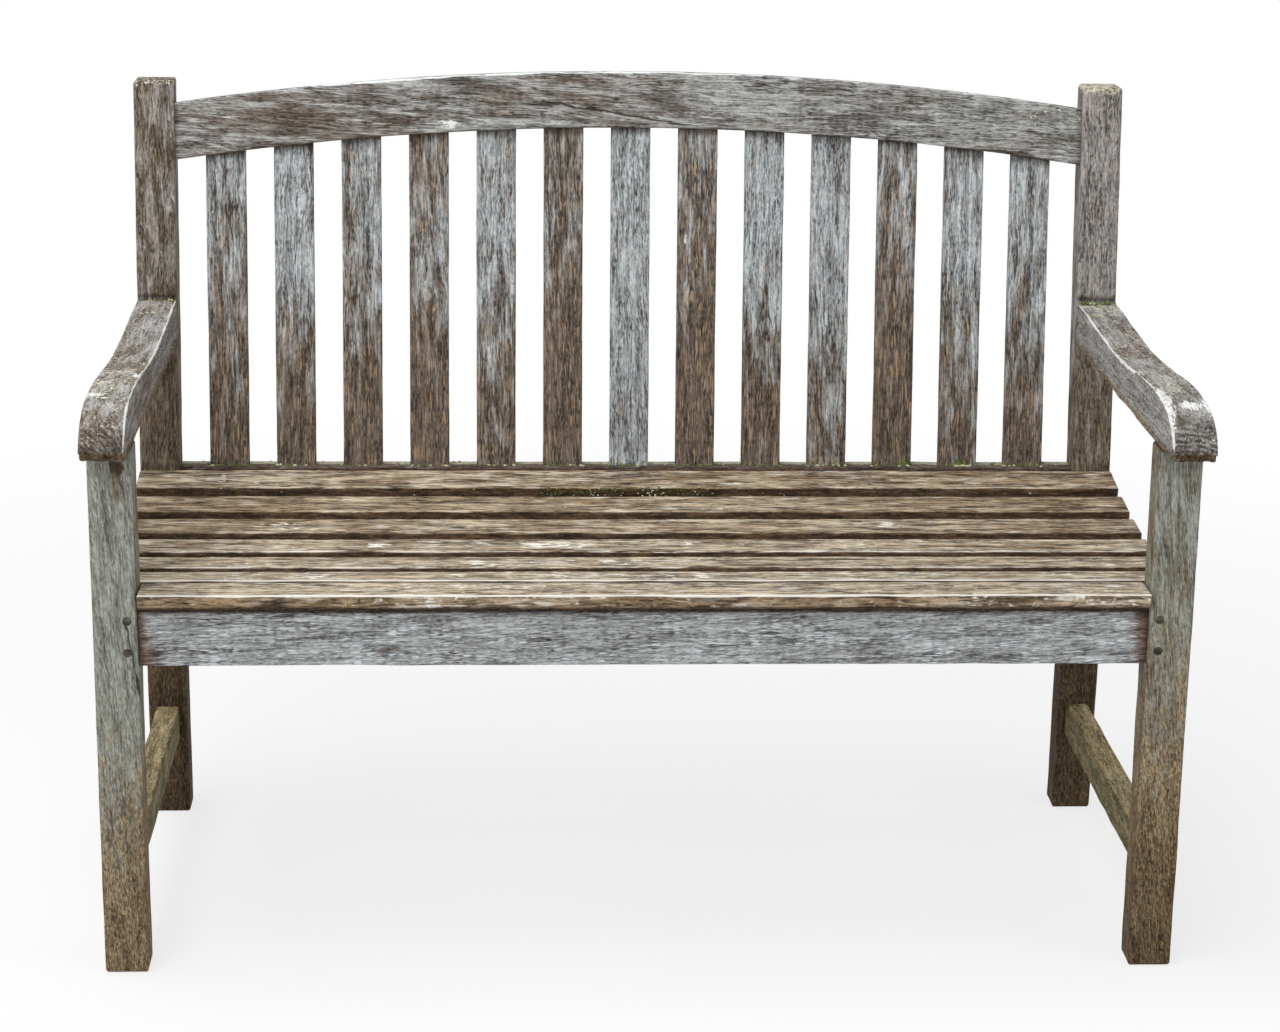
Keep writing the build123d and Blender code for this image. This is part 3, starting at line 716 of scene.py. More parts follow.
# %% Stains, soil, lichen and moss
thin_rust, thick_rust = (0.19, 0.100, 0.040, 1), (0.045, 0.019, 0.007, 1)
wet_earth, earth_brown, dry_earth = (0.026, 0.015, 0.007), (0.165, 0.108, 0.050), (0.42, 0.31, 0.165)
tan_lichen, pale_lichen = (0.50, 0.46, 0.31, 1), (0.75, 0.72, 0.61, 1)
deep_moss, bright_moss = (0.022, 0.036, 0.006, 1), (0.17, 0.25, 0.045, 1)


def stained_and_soiled(s, color):
    """Rust-brown water stains, and earth that has splashed up and dried."""
    stained = s.soft(s.swing(s.stain, (s.spread, 0.8), (s.streaks, 0.4)), 0.08, 0.85)
    rust = s.mix(s.soft(stained, 0.35, 0.95), thin_rust, thick_rust)
    color = s.mix(s.times(stained, 0.9), color, rust)
    earth = s.ramp(s.swing(0.5, (s.hairs, 1.8), (s.streaks, 2.0), (s.mottle, 2.2), (s.patches, 0.9)),
                   [(0.0, wet_earth), (0.45, earth_brown), (1.0, dry_earth)])
    s.soiled = s.soft(s.swing(s.soil, (s.spread, 1.2), (s.patches, 0.7)), 0.15, 0.8)
    return s.mix(s.times(s.soiled, 0.85), color, earth)


def overgrown(s, color):
    """Lichen in crisp crusts, and moss in soft patches."""
    blot = s.noise(s.grain, 3.5, 3.5, 3.0, 0.6, shift=61.0)
    crust = s.noise(s.grain, 5.0, 5.0, 4.0, 0.72, shift=13.0)
    cluster = s.noise(s.grain, 30, 22, shift=67.0)
    grown = s.swing(s.lichen, (cluster, 1.1), (s.spread, 0.5))
    crusted = s.times(s.soft(s.math("MULTIPLY_ADD", grown, 0.36, crust), 0.645, 0.70),
                      s.soft(s.lichen, 0.0, 0.12))
    lichen_color = s.mix(s.soft(blot, 0.40, 0.62), tan_lichen, pale_lichen)
    color = s.mix(s.rise(crusted, 0.0005), color, lichen_color)
    mossy = s.times(s.soft(s.swing(s.moss, (blot, 1.7), (cluster, 1.6)), 0.45, 0.75),
                    s.soft(s.moss, 0.0, 0.1))
    s.mossy = s.rise(mossy, 0.0006)
    return s.mix(mossy, color, s.mix(s.soft(s.hairs, 0.35, 0.65), deep_moss, bright_moss))


print("lichen stands up in crusts, and moss in patches")

# %% Painted shade, and the whole wood


def in_gloom(s, color, brown):
    """Painted shade, almost black at full strength, on hidden and overhung faces, and the dark of joints,
    dirt and stains.
    """
    # the tint of the painted shade, a redder brown
    shade_brown = (brown[0] * 1.2, brown[1] * 0.9, brown[2] * 0.62)
    lights = ((0.0, 0.03), (0.5, 0.17), (1.0, 0.65))
    stops = [(place, [part * light for part in shade_brown]) for place, light in lights]
    gloom = s.ramp(s.swing(0.45, (s.hairs, 1.1), (s.streaks, 1.4), (s.mottle, 1.8), (s.patches, 0.8)), stops)
    return s.mix(s.times(s.shade, 0.95), color, gloom)


def weathered_teak(name, brown, grey, pale=(0.66, 0.66, 0.64), contrast=1.0, coarse=1.0, pores=0.8,
                   flecks=0.5, fleck_size=(16, 1.3), warm=0.5, checks=0.7, sawn_dark=0.35):
    """Teak left outdoors, from its brown where it is sheltered to its grey in the sun."""
    s = Teak(name, coarse)
    color = fibre_colors(s, brown, grey, contrast)
    color = grain_marks(s, color, pale, pores, flecks, fleck_size, warm, checks)
    color = own_crack(s, sawn_ends(s, color, brown, sawn_dark))
    color = stained_and_soiled(s, worn_places(s, color, pale))
    color = in_gloom(s, overgrown(s, color), brown)
    height = s.swing(0.0, (s.streaks, 0.0010), (s.hairs, 0.0005), (s.bundles, 0.00012), (s.rings, 0.0004))
    for mask, rise in s.rises:
        height = s.math("MULTIPLY_ADD", mask, rise, height)
    rough = s.soft(s.value, 0.0, 1.0, 0.92, 0.72)
    rough = s.math("MULTIPLY_ADD", s.math("ADD", s.soiled, s.mossy), 0.1, rough, clamp=True)
    return s.finish(color, rough, height, Specular_IOR_Level=0.3)


print("the wood's layers are in order, from its fibres to its damp shade")

# %% [markdown]
# ## Nine woods
#
# All of the bench is teak, but its boards came from different planks and have weathered in different places.
# The same function makes each kind of board its own wood, from three tones, which are its brown, its grey and
# its rubbed pale, and from a few numbers for its pores, fibres and cracks.

# %% One wood for each kind of board
wood_looks = {
    "leg_wood": dict(
        brown=(0.165, 0.122, 0.070), grey=(0.235, 0.245, 0.212), pale=(0.46, 0.51, 0.48), contrast=0.85,
        pores=0.4, flecks=0.5, fleck_size=(10, 1.0), warm=0.2, checks=0.4),
    "post_wood": dict(
        brown=(0.115, 0.088, 0.056), grey=(0.258, 0.240, 0.228), pale=(0.52, 0.49, 0.47), flecks=0.4,
        warm=0.35),
    "stretcher_wood": dict(
        brown=(0.33, 0.265, 0.135), grey=(0.43, 0.365, 0.22), pale=(0.50, 0.44, 0.32), contrast=0.8,
        flecks=0.2),
    "arm_wood": dict(
        brown=(0.155, 0.122, 0.093), grey=(0.268, 0.262, 0.255), pale=(0.76, 0.77, 0.76), contrast=0.85,
        flecks=0.4, fleck_size=(9, 1.4), warm=0.3, sawn_dark=0.08),
    "rail_wood": dict(
        brown=(0.12, 0.082, 0.06), grey=(0.305, 0.318, 0.32), pale=(0.70, 0.745, 0.78), flecks=0.85,
        fleck_size=(12, 1.4), pores=0.5, warm=0.15),
    "top_rail_wood": dict(
        brown=(0.135, 0.107, 0.086), grey=(0.285, 0.288, 0.278), pale=(0.72, 0.75, 0.74), flecks=0.5,
        fleck_size=(22, 1.5), warm=0.25),
    "back_slat_wood": dict(
        brown=(0.135, 0.102, 0.075), grey=(0.338, 0.364, 0.378), pale=(0.66, 0.67, 0.68), contrast=1.1,
        flecks=0.4, fleck_size=(18, 1.2), warm=0.65),
    "seat_slat_wood": dict(
        brown=(0.200, 0.136, 0.076), grey=(0.345, 0.288, 0.204), pale=(0.78, 0.745, 0.67), contrast=1.3,
        coarse=2.3, flecks=0.65, fleck_size=(30, 2.6), warm=0.3),
    "peg_wood": dict(
        brown=(0.036, 0.027, 0.020), grey=(0.072, 0.062, 0.050), pale=(0.20, 0.18, 0.15), flecks=0.1,
        warm=0.0, sawn_dark=0.1),
}
woods = {name: weathered_teak(name, **looks) for name, looks in wood_looks.items()}
print("made", len(woods), "woods")

# %% [markdown]
# ## Places from the frame
#
# Every board is measured on the frame. A box is enough for a board that lies square to the axes. For one
# that leans, the frame's points are measured along the board's own directions instead.

# %% Measuring boards
axis_x, axis_y, axis_z = np.eye(3)
rake = radians(7)  # how far the back leans
up_rake = np.array((0, sin(rake), cos(rake)))
behind = np.array((0, cos(rake), -sin(rake)))


def corners(node):
    """A node's lowest and highest corner."""
    return [np.array(corner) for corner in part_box(node)]


def frame_points(node):
    """All points of a node, in metres."""
    return np.array([vertex.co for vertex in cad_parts[node].data.vertices])


def reach(node, *directions):
    """The middle and the half size of a node along each direction."""
    spread = frame_points(node) @ np.array(directions).T
    return (spread.min(0) + spread.max(0)) / 2, (spread.max(0) - spread.min(0)) / 2


def top_direction(node):
    """Which way the widest upward faces of a node look."""
    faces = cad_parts[node].data.polygons
    looks = np.array([face.normal for face in faces])
    areas = np.array([face.area for face in faces])
    upward = looks[:, 2] > 0.9
    total = (looks[upward] * areas[upward, None]).sum(0)
    return total / np.linalg.norm(total)


print("the seat's last slat looks up along", top_direction("seat_slat_7").round(3))

# %% Where the legs stand
sides = {"left": -1, "right": 1}
leg_low, leg_high = corners("front_leg_right")
leg_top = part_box("armrest_right")[0].z
inner_x, outer_x = leg_low[0], leg_high[0]
leg_x = (inner_x + outer_x) / 2
half_width = (outer_x - inner_x) / 2
half_depth = (leg_high[1] - leg_low[1]) / 2
front_y = leg_low[1]
print("the legs are", round(2 * half_width, 3), "by", round(2 * half_depth, 3), "m, up to", round(leg_top, 3))

# %% [markdown]
# ## Legs and posts
#
# The front legs catch rain and sun on their faces, so they have worn smooth and blue-grey, and their feet
# have drawn up soil. Water from the arm's joint left a rust-brown tail on the left one, and a crack
# joins its two pegs. The rear posts stand behind the seat, where they stay darker and browner.

# %% How the front legs have aged
into = 0.0003  # how far a butted end runs on into its neighbour
butt_round = 0.0014  # the rounding of a butted end, which leaves a fine dark line at the joint
# each spot of rust: beside the leg's middle, below the arm, and its half sizes
rust_spots = ((0.0035, 0.018, 0.0045, 0.007), (0.0115, 0.022, 0.0045, 0.007), (0.0065, 0.040, 0.0055, 0.022))
peg_crack = (-leg_x + 0.0185, front_y, 0.366)

leg_grey = {"left": 0.35, "right": 0.15}  # how bleached each leg is
leg_soil_low = {"left": 0.95, "right": 1.25}  # how soiled each foot is
soil_fade = 2.4  # and how much less it is a metre up
foot_shade = {"left": 0.12, "right": 0.68}  # and how dark


def rust_under_arm(points, normals):
    spots = [(-leg_x + x, leg_top - drop, half_x, half_z) for x, drop, half_x, half_z in rust_spots]
    return 0.90 * blobs(points, *spots[:2]) + 0.55 * blobs(points, spots[2])


leg_marks = {"left": {"stain": rust_under_arm, "crack": peg_crack, "crack_reach": 0.056, "crack_lean": -0.16,
                      "crack_width": 1.5},
             "right": {}}
print(len(rust_spots), "spots of rust mark the left leg")

# %% Front legs
for seed, (name, side) in enumerate(sides.items(), start=11):
    def leg_bleach(points, normals, grey=leg_grey[name]):
        return grey + 0.3 * faces_front(normals, 0.0, 0.8) + 0.25 * smooth_step(points[:, 2], 0.10, 0.34)

    def leg_soil(points, normals, low=leg_soil_low[name]):
        return low - soil_fade * points[:, 2]

    # Painted shade under the arm, over the dark joint with it. Lower down, the leg darkens towards its foot.
    def leg_shade(points, normals, foot=foot_shade[name]):
        under_arm = smooth_step(points[:, 2], leg_top - 0.006, leg_top - 0.001)
        return 0.75 * under_arm + foot * smooth_step(points[:, 2], 0.24, 0.0)

    board(f"worn_front_leg_{name}", f"front_leg_{name}", "leg_wood",
          straight((side * leg_x, front_y + half_depth, 0), axis_z, axis_x, axis_y, half_width, half_depth),
          leg_top, (axis_z, axis_x, axis_y), seed, columns=(16, 14), end_round=0.005, lean=-0.10,
          bleach=leg_bleach, soil=leg_soil, shade=leg_shade, rub=0.15, **leg_marks[name])
print("two front legs stand")

# %% The line of a rear post
post_low, post_high = corners("rear_post_right")
post_y = post_low[1]
post_top = post_high[2]
knee_height = 0.440
foot_kick = 0.011  # how far a foot stands behind the knee
knee_softness = 0.009
arm_rear_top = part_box("armrest_right")[1].z


def post_front(z):
    """How far back a post's front face stands."""
    above = z - knee_height
    lean_back = knee_softness * np.logaddexp(0, above / knee_softness) * tan(rake)
    kick_back = knee_softness * np.logaddexp(0, -above / knee_softness) * foot_kick / knee_height
    return post_y + lean_back + kick_back


def post_path(side):
    """The path of a post, for board()."""
    def path(z):
        ones = np.ones((len(z), 1))
        origin = np.stack([0 * z + side * leg_x, post_front(z) + half_depth, z], 1)
        return origin, ones * axis_x, ones * axis_y, ones * np.array((half_width, half_depth))
    return path


print("a post's top leans back by", round(post_front(post_top) - post_front(knee_height), 3), "m")

# %% Rear posts


# Under the seat the posts take the earth colour, partly dirt and partly painted shade from the seat; near the
# floor it is splashed dirt.
def post_soil_and_shade(points, normals):
    under_seat = smooth_step(points[:, 2], 0.45, 0.38)
    return 0.65 * under_seat + 0.3 * smooth_step(points[:, 2], 0.10, 0.0)


def post_shade(points, normals):
    """The dark line over each arm, and the gloom under the seat."""
    over_arm = smooth_step(np.abs(points[:, 2] - arm_rear_top - 0.003), 0.006, 0.002)
    under_seat = smooth_step(points[:, 2], 0.44, 0.40)
    return 0.85 * over_arm * faces_front(normals, 0.3) + 0.72 * under_seat


post_grey = {"left": (-0.12, 0.56), "right": (0.10, 0.70)}  # low down, and how much more higher up
for seed, (name, side) in enumerate(sides.items(), start=21):
    def post_bleach(points, normals, low=post_grey[name][0], rise=post_grey[name][1]):
        return low + rise * smooth_step(points[:, 2], 0.36, 0.80)

    def post_lichen(points, normals, side=side):
        crown = smooth_step(points[:, 2], post_top - 0.010, post_top - 0.001)
        return (0.70 if side > 0 else 0.35) * crown

    def post_moss(points, normals, side=side):
        return 0.30 * smooth_step(points[:, 2], post_top - 0.012, post_top - 0.002) * (side > 0)

    board(f"worn_rear_post_{name}", f"rear_post_{name}", "post_wood", post_path(side), post_top,
          (axis_z, axis_x, axis_y), seed, columns=(16, 14), end_round=0.004,
          bleach=post_bleach, soil=post_soil_and_shade, lichen=post_lichen, moss=post_moss, shade=post_shade, rub=0.1)
print("two rear posts stand to", round(post_top, 3), "m")

# %% [markdown]
# ## Rails and stretchers
#
# Each of these boards ends in a tenon inside a leg or post. Their ends here are rounded a little and stop at
# the leg's face, so a fine dark line shows at every joint, as it does between two boards that have shrunk.
# The front rail is the greyest board of all, with short pale fibres standing up from it.

# %% Boards across the bench
stock = 0.028  # thickness of every rail


def along_bench(node, slot, seed, start_x, end_x, **finish):
    """A straight board on edge that runs across the bench."""
    low, high = corners(node)
    middle, half = (low + high) / 2, (high - low) / 2
    board("worn_" + node, node, slot,
          straight((start_x, middle[1], middle[2]), axis_x, axis_z, -axis_y, half[2], half[1]),
          end_x - start_x, (axis_x, axis_z, -axis_y), seed, end_round=butt_round, **finish)


def near_ends(points, length):
    """1 beside the legs, and 0 from some length off."""
    return smooth_step(np.abs(points[:, 0]), inner_x - length, inner_x)


print("rails are", stock, "m thick and", round(2 * inner_x, 3), "m long between the legs")

# %% Front rail
apron_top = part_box("front_seat_rail")[1].z


def apron_bleach(points, normals):
    return 1.0 - 0.9 * near_ends(points, 0.03)


def apron_stain(points, normals):
    return 0.34 * near_ends(points, 0.014)


# Painted shadow of the front slat's overhang on the rail's upper part, a darker painted line just below the
# overhang, and the dark joints at the rail's ends.
def apron_shade(points, normals):
    under_slat = 0.45 * smooth_step(points[:, 2], apron_top - 0.018, apron_top - 0.007)
    line = 0.6 * smooth_step(points[:, 2], apron_top - 0.0102, apron_top - 0.0082)
    return np.minimum(under_slat + line + 0.6 * near_ends(points, 0.006), 1.0)


along_bench("front_seat_rail", "rail_wood", 31, -inner_x - into, inner_x + into, columns=(34, 6),
            bleach=apron_bleach, stain=apron_stain, shade=apron_shade, lean=0.02)
print("the front rail's upper edge is at", round(apron_top, 3), "m")

# %% Rear rail


def rear_rail_lichen(points, normals):
    middle = sum(corners("rear_seat_rail"))[1] / 2
    return 1.15 * faces_up(normals, 0.3) * smooth_step(points[:, 1], middle - 0.004, middle + 0.004)


along_bench("rear_seat_rail", "rail_wood", 32, -inner_x - into, inner_x + into, columns=(18, 8),
            bleach=-0.1, lichen=rear_rail_lichen, moss=0.08, shade=0.45)
print("the rear rail grows lichen along its back edge")

# %% Stretchers


def stretcher_moss(points, normals):
    return 0.22 + 0.25 * smooth_step(np.abs(normals[:, 0]), 0.4, 0.9)


def stretcher_shade(points, normals):
    return 0.45 * smooth_step(np.abs(normals[:, 0]), 0.4, 0.9)


for seed, (name, side) in enumerate(sides.items(), start=33):
    node = f"stretcher_{name}"
    low, high = corners(node)
    middle, half = (low + high) / 2, (high - low) / 2
    start_y = front_y + 2 * half_depth - into
    end_y = post_front((low[2] + high[2]) / 2) + into
    board("worn_" + node, node, "stretcher_wood",
          straight((middle[0], start_y, middle[2]), axis_y, axis_z, axis_x, half[2], stock / 2),
          end_y - start_y, (axis_y, axis_z, axis_x), seed, columns=(10, 7), end_round=butt_round,
          bleach=0.35, soil=0.15, moss=stretcher_moss, shade=stretcher_shade)
print("a stretcher ties each front leg to its post")

# %% Dished side rails and bearer


def upper_edge(node, x):
    """The dished upper edge of a rail on edge, read from the frame at one of its faces."""
    points = frame_points(node)
    floor_z = points[:, 2].min()
    on_face = points[(np.abs(points[:, 0] - x) < 1e-4) & (points[:, 2] > floor_z + 0.04)]
    order = on_face[np.argsort(on_face[:, 1])]
    return order[:, 1], order[:, 2]


def dished(node, seed, x):
    """A rail from front to back whose upper edge is hollowed."""
    low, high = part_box(node)
    edge_y, edge_z = upper_edge(node, x + stock / 2)
    start_y, end_y = edge_y[0] - into, edge_y[-1] + into

    def path(distance):
        y = start_y + distance
        top = np.interp(y, edge_y, edge_z)
        ones = np.ones((len(y), 1))
        origin = np.stack([0 * y + x, y, (top + low.z) / 2], 1)
        half = np.stack([(top - low.z) / 2, 0 * y + stock / 2], 1)
        return origin, ones * axis_z, ones * axis_x, half

    board("worn_" + node, node, "rail_wood", path, end_y - start_y, (axis_y, axis_z, axis_x), seed,
          edge=0.0015, columns=(12, 6), end_round=0.001, bleach=0.0, shade=0.4)


dished("side_seat_rail_left", 41, -leg_x)
dished("side_seat_rail_right", 42, leg_x)
dished("centre_seat_bearer", 43, 0)
print("three dished rails carry the seat")

# %% [markdown]
# ## Seat slats
#
# People slide over the front slats, so their front arrises are rubbed to pale bare wood and their tops are
# bleached. Toward the back the slats are browner. Between two slats the slats' own front faces are painted
# almost black, as painted shade from the slat in front with some dirt, and moss grows in the last gap.

# %% How each seat slat has aged
slat_count = 7
top_bleach = {1: 0.85, 2: 0.80, 3: 0.70, 4: 0.7, 5: 0.45, 6: 0.4, 7: 0.5}
arris_rub = {1: 1.4, 2: 1.25, 3: 0.6, 4: 0.75, 5: 0.45, 6: 0.45, 7: 0.15}
rubbed_band = {1: 0.0026, 2: 0.0045, 3: 0.003, 4: 0.003, 5: 0.002, 6: 0.002, 7: 0.001}  # metres wide
scratched = {1: 0.10, 2: 0.15, 3: 0.10, 4: 0.12, 5: 0.04, 6: 0.02, 7: 0.06}  # how scratched all over
# where along the bench each slat is scraped, and over what half length
seat_scars = {1: [], 2: [(-0.21, 0.012), (-0.08, 0.04), (0.07, 0.012), (-0.37, 0.03)],
              3: [(-0.092, 0.03), (-0.19, 0.012), (0.045, 0.010), (-0.02, 0.035)],
              4: [(-0.185, 0.018), (0.059, 0.012), (-0.10, 0.05), (-0.30, 0.02)],
              5: [(-0.42, 0.03), (0.30, 0.012)], 6: [], 7: [(-0.497, 0.006)]}


def gap_moss(points, normals):
    return faces_front(normals, 0.3) * (0.22 + 0.30 * smooth_step(np.abs(points[:, 0]), 0.16, 0.06))


def back_moss(points, normals):
    return 0.10 * faces_front(normals, 0.3)


slat_growth = {7: gap_moss, 6: back_moss, 5: back_moss}
print(sum(len(scars) for scars in seat_scars.values()), "places on the seat are scraped")

# %% Seat slats
for number in range(1, slat_count + 1):
    node = f"seat_slat_{number}"
    up = top_direction(node)
    back = np.cross(up, axis_x)
    middle, half = reach(node, axis_x, back, up)
    start = -half[0] * axis_x + middle[1] * back + middle[2] * up

    def slat_bleach(points, normals, high=top_bleach[number], number=number):
        return 0.34 * (number == 1) + high * faces_up(normals, 0.2)

    def slat_rub(points, normals, middle=middle, back=back, strength=arris_rub[number]):
        return strength * (points @ back < middle[1]) * faces_up(normals, -0.1, 0.3)

    def slat_band(points, normals, front=middle[1] - half[1], back=back, number=number):
        wide = rubbed_band[number]
        band = smooth_step(points @ back - front, wide * 1.6, wide * 0.5)
        return 0.75 * arris_rub[number] * band * (normals[:, 2] > 0.6)

    def slat_scar(points, normals, middle=middle, back=back, number=number, all_over=scratched[number]):
        total = np.zeros(len(points))
        for x, length in seat_scars[number]:
            away = np.hypot((points[:, 0] - x) / length, (points @ back - middle[1]) / 0.016)
            total = np.maximum(total, smooth_step(away, 1.2, 0.6))
        front = 0.16 * (number == 1) * faces_front(normals)
        return (all_over + 0.28 * total) * faces_up(normals) + front

    # Painted shade: each front face in a gap is painted almost black, as shade cast by the slat in front,
    # with some dirt. The first slat's front face is a little darker, and its lower front edge gets a painted
    # dark line over its joint.
    def slat_shade(points, normals, under=middle[2] - half[2], up=up, number=number):
        shade_and_joint = 0.85 * smooth_step(points @ up - under, 0.0040, 0.0015)
        if number > 1:
            return 0.93 * faces_front(normals)
        return 0.12 * faces_front(normals) + shade_and_joint * (normals[:, 1] < -0.1)

    board("worn_" + node, node, "seat_slat_wood", straight(start, axis_x, back, up, half[1], half[2]),
          2 * half[0], (axis_x, back, up), 50 + number, edge=0.0022, columns=(24, 6),
          bleach=slat_bleach, moss=slat_growth.get(number, 0.0), rub=slat_rub, band=slat_band, scar=slat_scar,
          shade=slat_shade)
print(slat_count, "seat slats lie on them")

# %% [markdown]
# ## Back slats
#
# The slats of the back came from different planks and have aged differently: the middle one is almost
# blue-grey, and its neighbours are brown. All of them are browner and damper at the foot.

# %% The arch
arch_rise = 0.042
top_rail_width = 0.068
top_rail_drop = 0.028
back_setback = 0.023

arch_radius = (inner_x**2 + arch_rise**2) / (2 * arch_rise)
rail_end = (post_top - top_rail_drop - knee_height) / cos(rake)
arch_centre = rail_end - sqrt((arch_radius + top_rail_width) ** 2 - inner_x**2)
back_origin = np.array((0, post_y + back_setback, knee_height))


def top_rail_lower(x):
    """The height of the top rail's lower edge over a place along the bench."""
    return back_origin[2] + (arch_centre + np.sqrt(arch_radius**2 - x**2)) * cos(rake)


print("the arch has a radius of", round(arch_radius, 2), "m")

# %% How each back slat has aged
back_slat_count = 13
upper_bleach = {1: 0.62, 2: 0.72, 3: 0.58, 4: 0.38, 5: 0.68, 6: 0.42, 7: 1.0,
                8: 0.32, 9: 0.78, 10: 0.98, 11: 0.38, 12: 0.72, 13: 0.68}
slat_knots = {2: (-0.4025, 0.2729, 0.7783), 4: (-0.2451, 0.2582, 0.6579), 8: (0.0754, 0.2583, 0.6591)}
slat_scars = {8: (0.0685, 0.7322, 0.0013, 0.007), 7: (0.0244, 0.7198, 0.0012, 0.012)}
slat_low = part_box("rear_seat_rail")[1].z
print(len(slat_knots), "of the back slats have a knot")

# %% Back slats
for number in range(1, back_slat_count + 1):
    node = f"back_slat_{number:02d}"
    middle, half = reach(node, axis_x, behind, up_rake)
    start = middle[0] * axis_x + middle[1] * behind + (middle[2] - half[2]) * up_rake

    def slat_bleach(points, normals, upper=upper_bleach[number], drop=0.25 if number == 7 else 0.65):
        return upper - drop + drop * smooth_step(points[:, 2], slat_low + 0.02, slat_low + 0.28)

    def slat_moss(points, normals):
        return 0.42 * smooth_step(points[:, 2], slat_low + 0.014, slat_low)

    # Painted shadow of the top rail on each slat's head, over the dark joint where the slat enters the rail.
    def slat_shadow_under_rail(points, normals):
        under_rail = top_rail_lower(points[:, 0])
        return 0.85 * smooth_step(points[:, 2], under_rail - 0.009, under_rail - 0.001)

    def slat_scar(points, normals, spot=slat_scars.get(number)):
        return blobs(points, spot) * faces_front(normals) if spot else 0.0

    board("worn_" + node, node, "back_slat_wood",
          straight(start, up_rake, axis_x, behind, half[0], half[1]),
          2 * half[2], (up_rake, axis_x, behind), 60 + number, edge=0.002, columns=(16, 4),
          bleach=slat_bleach, moss=slat_moss, shade=slat_shadow_under_rail, scar=slat_scar, rub=0.2,
          knot=slat_knots.get(number))
print(back_slat_count, "back slats stand between the rails")

# %% [markdown]
# ## The arched top rail
#
# The rail was bandsawn from a wide plank: its grain runs straight while its edges follow two circles about
# one centre. Its rings stand plumb, so that both ends meet the posts squarely. A long crack follows the
# grain, and rain has washed its upper edge almost white.

# %% The top rail's path


def top_rail_path(distance):
    x = distance - inner_x - into
    lower = arch_centre + np.sqrt(arch_radius**2 - x**2)
    upper = arch_centre + np.sqrt((arch_radius + top_rail_width) ** 2 - x**2)
    ones = np.ones((len(x), 1))
    origin = back_origin + x[:, None] * axis_x + ((lower + upper) / 2)[:, None] * up_rake
    half = np.stack([(upper - lower) / 2, 0 * x + stock / 2], 1)
    return origin, ones * up_rake, -ones * behind, half


print("the rail's middle stands at", top_rail_path(np.array([inner_x + into]))[0][0].round(3))

# %% How the top rail has aged


def top_rail_bleach(points, normals):
    along = 0.22 * smooth_step(points[:, 0], -0.45, -0.05)
    return 0.40 + along + 0.5 * faces_up(normals, 0.0, 0.8)


def top_rail_rub(points, normals):
    middle_left = smooth_step(points[:, 0], 0.3, 0.0) * smooth_step(points[:, 0], -0.5, -0.3)
    return (0.45 + 0.5 * middle_left) * faces_up(normals, 0.1, 0.5)


def top_rail_lichen(points, normals):
    at_right = smooth_step(points[:, 0], inner_x - 0.12, inner_x - 0.02)
    return 0.34 * at_right * smooth_step(points[:, 2], 0.865, 0.885)


dark_patches = ((-0.19, 0.918, 0.045, 0.008), (0.04, 0.905, 0.025, 0.006), (0.30, 0.885, 0.04, 0.008))
scraped_patch = (-0.2213, 0.8714, 0.012, 0.0042)


def top_rail_shade(points, normals):
    return faces_front(normals, 0.3) * (0.45 * blobs(points, *dark_patches) + 0.35 * near_ends(points, 0.012))


def top_rail_scar(points, normals):
    return 0.72 * blobs(points, scraped_patch) * faces_front(normals)


print(len(dark_patches), "patches of the top rail are darker")

# %% Top rail
board("worn_top_rail", "top_rail", "top_rail_wood", top_rail_path, 2 * (inner_x + into),
      (axis_x, up_rake, -behind), 81, columns=(18, 8), end_round=butt_round, lean=-0.07,
      bleach=top_rail_bleach, rub=top_rail_rub, lichen=top_rail_lichen, shade=top_rail_shade,
      scar=top_rail_scar, crack=(-0.02, 0.2806, 0.8855), crack_reach=0.095, crack_lean=-0.15, crack_width=2.0)
print("the top rail arches", arch_rise, "m over the back")

# %% [markdown]
# ## Rolled armrests
#
# An arm is flat below and shaped above: thick where it is tenoned into the post, thinner where the hand
# rests, then over a crown and down to a rolled nose. Plumb rings would crowd together on the nose, so these
# fan out instead. Each ring joins a point of the flat underside to a point of the curved top. Years of rain
# have crumbled the lower lip of the nose, where the end grain is open.

# %% The outline of an arm
lip = 0.009  # height of the lip under the nose
arm_chamfer = 0.004  # how far inside the arm's faces the frame's rounded edges begin
hub_back = 0.06  # how far behind the leg's front the point lies that the outline is sorted about


def arm_profile(node, x):
    """The upper outline of an arm, read from the frame, from the post to the top of the lip."""
    points = frame_points(node)
    on_edge = np.abs(np.abs(points[:, 0] - x) - (half_width - arm_chamfer)) < 1e-4
    outline = points[on_edge & (points[:, 2] > leg_top + 0.001)][:, 1:]
    hub = np.array((front_y + hub_back, leg_top))
    angle = np.arctan2(outline[:, 1] - hub[1], outline[:, 0] - hub[0])
    outline = outline[np.argsort(angle)]
    keep = np.concatenate([[True], np.linalg.norm(np.diff(outline, axis=0), axis=1) > 1e-5])
    return outline[keep]


print("an arm's outline has", len(arm_profile("armrest_right", leg_x)), "points")

# %% The crumbled lip
lip_bite = 0.0085  # how far it has crumbled back
crumb = 0.0045  # how wide one bite is


def crumbled(rings, rng):
    """Bites back the lip of an arm's nose, irregularly from side to side."""
    y, z = rings[..., 1], rings[..., 2]
    columns = (rings[..., 0] - rings[..., 0].min()) / crumb
    low = np.floor(columns).astype(int)
    share = columns - low
    depth, height = rng.uniform((0.25, 0.55), (1, 1.7), (low.max() + 3, 2)).T
    bite = depth[low] * (1 - share) + depth[low + 1] * share
    tall = lip * (height[low] * (1 - share) + height[low + 1] * share)
    at_lip = smooth_step(z - leg_top, tall * 1.15, tall * 0.85) * smooth_step(y, front_y + 0.03, front_y)
    bitten = rings.copy()
    bitten[..., 1] = y + lip_bite * at_lip * bite
    return bitten


print("the lip has crumbled back", 1000 * lip_bite, "mm at most")

# %% How the arms have aged
arm_rear_y = post_front(leg_top + 0.03)


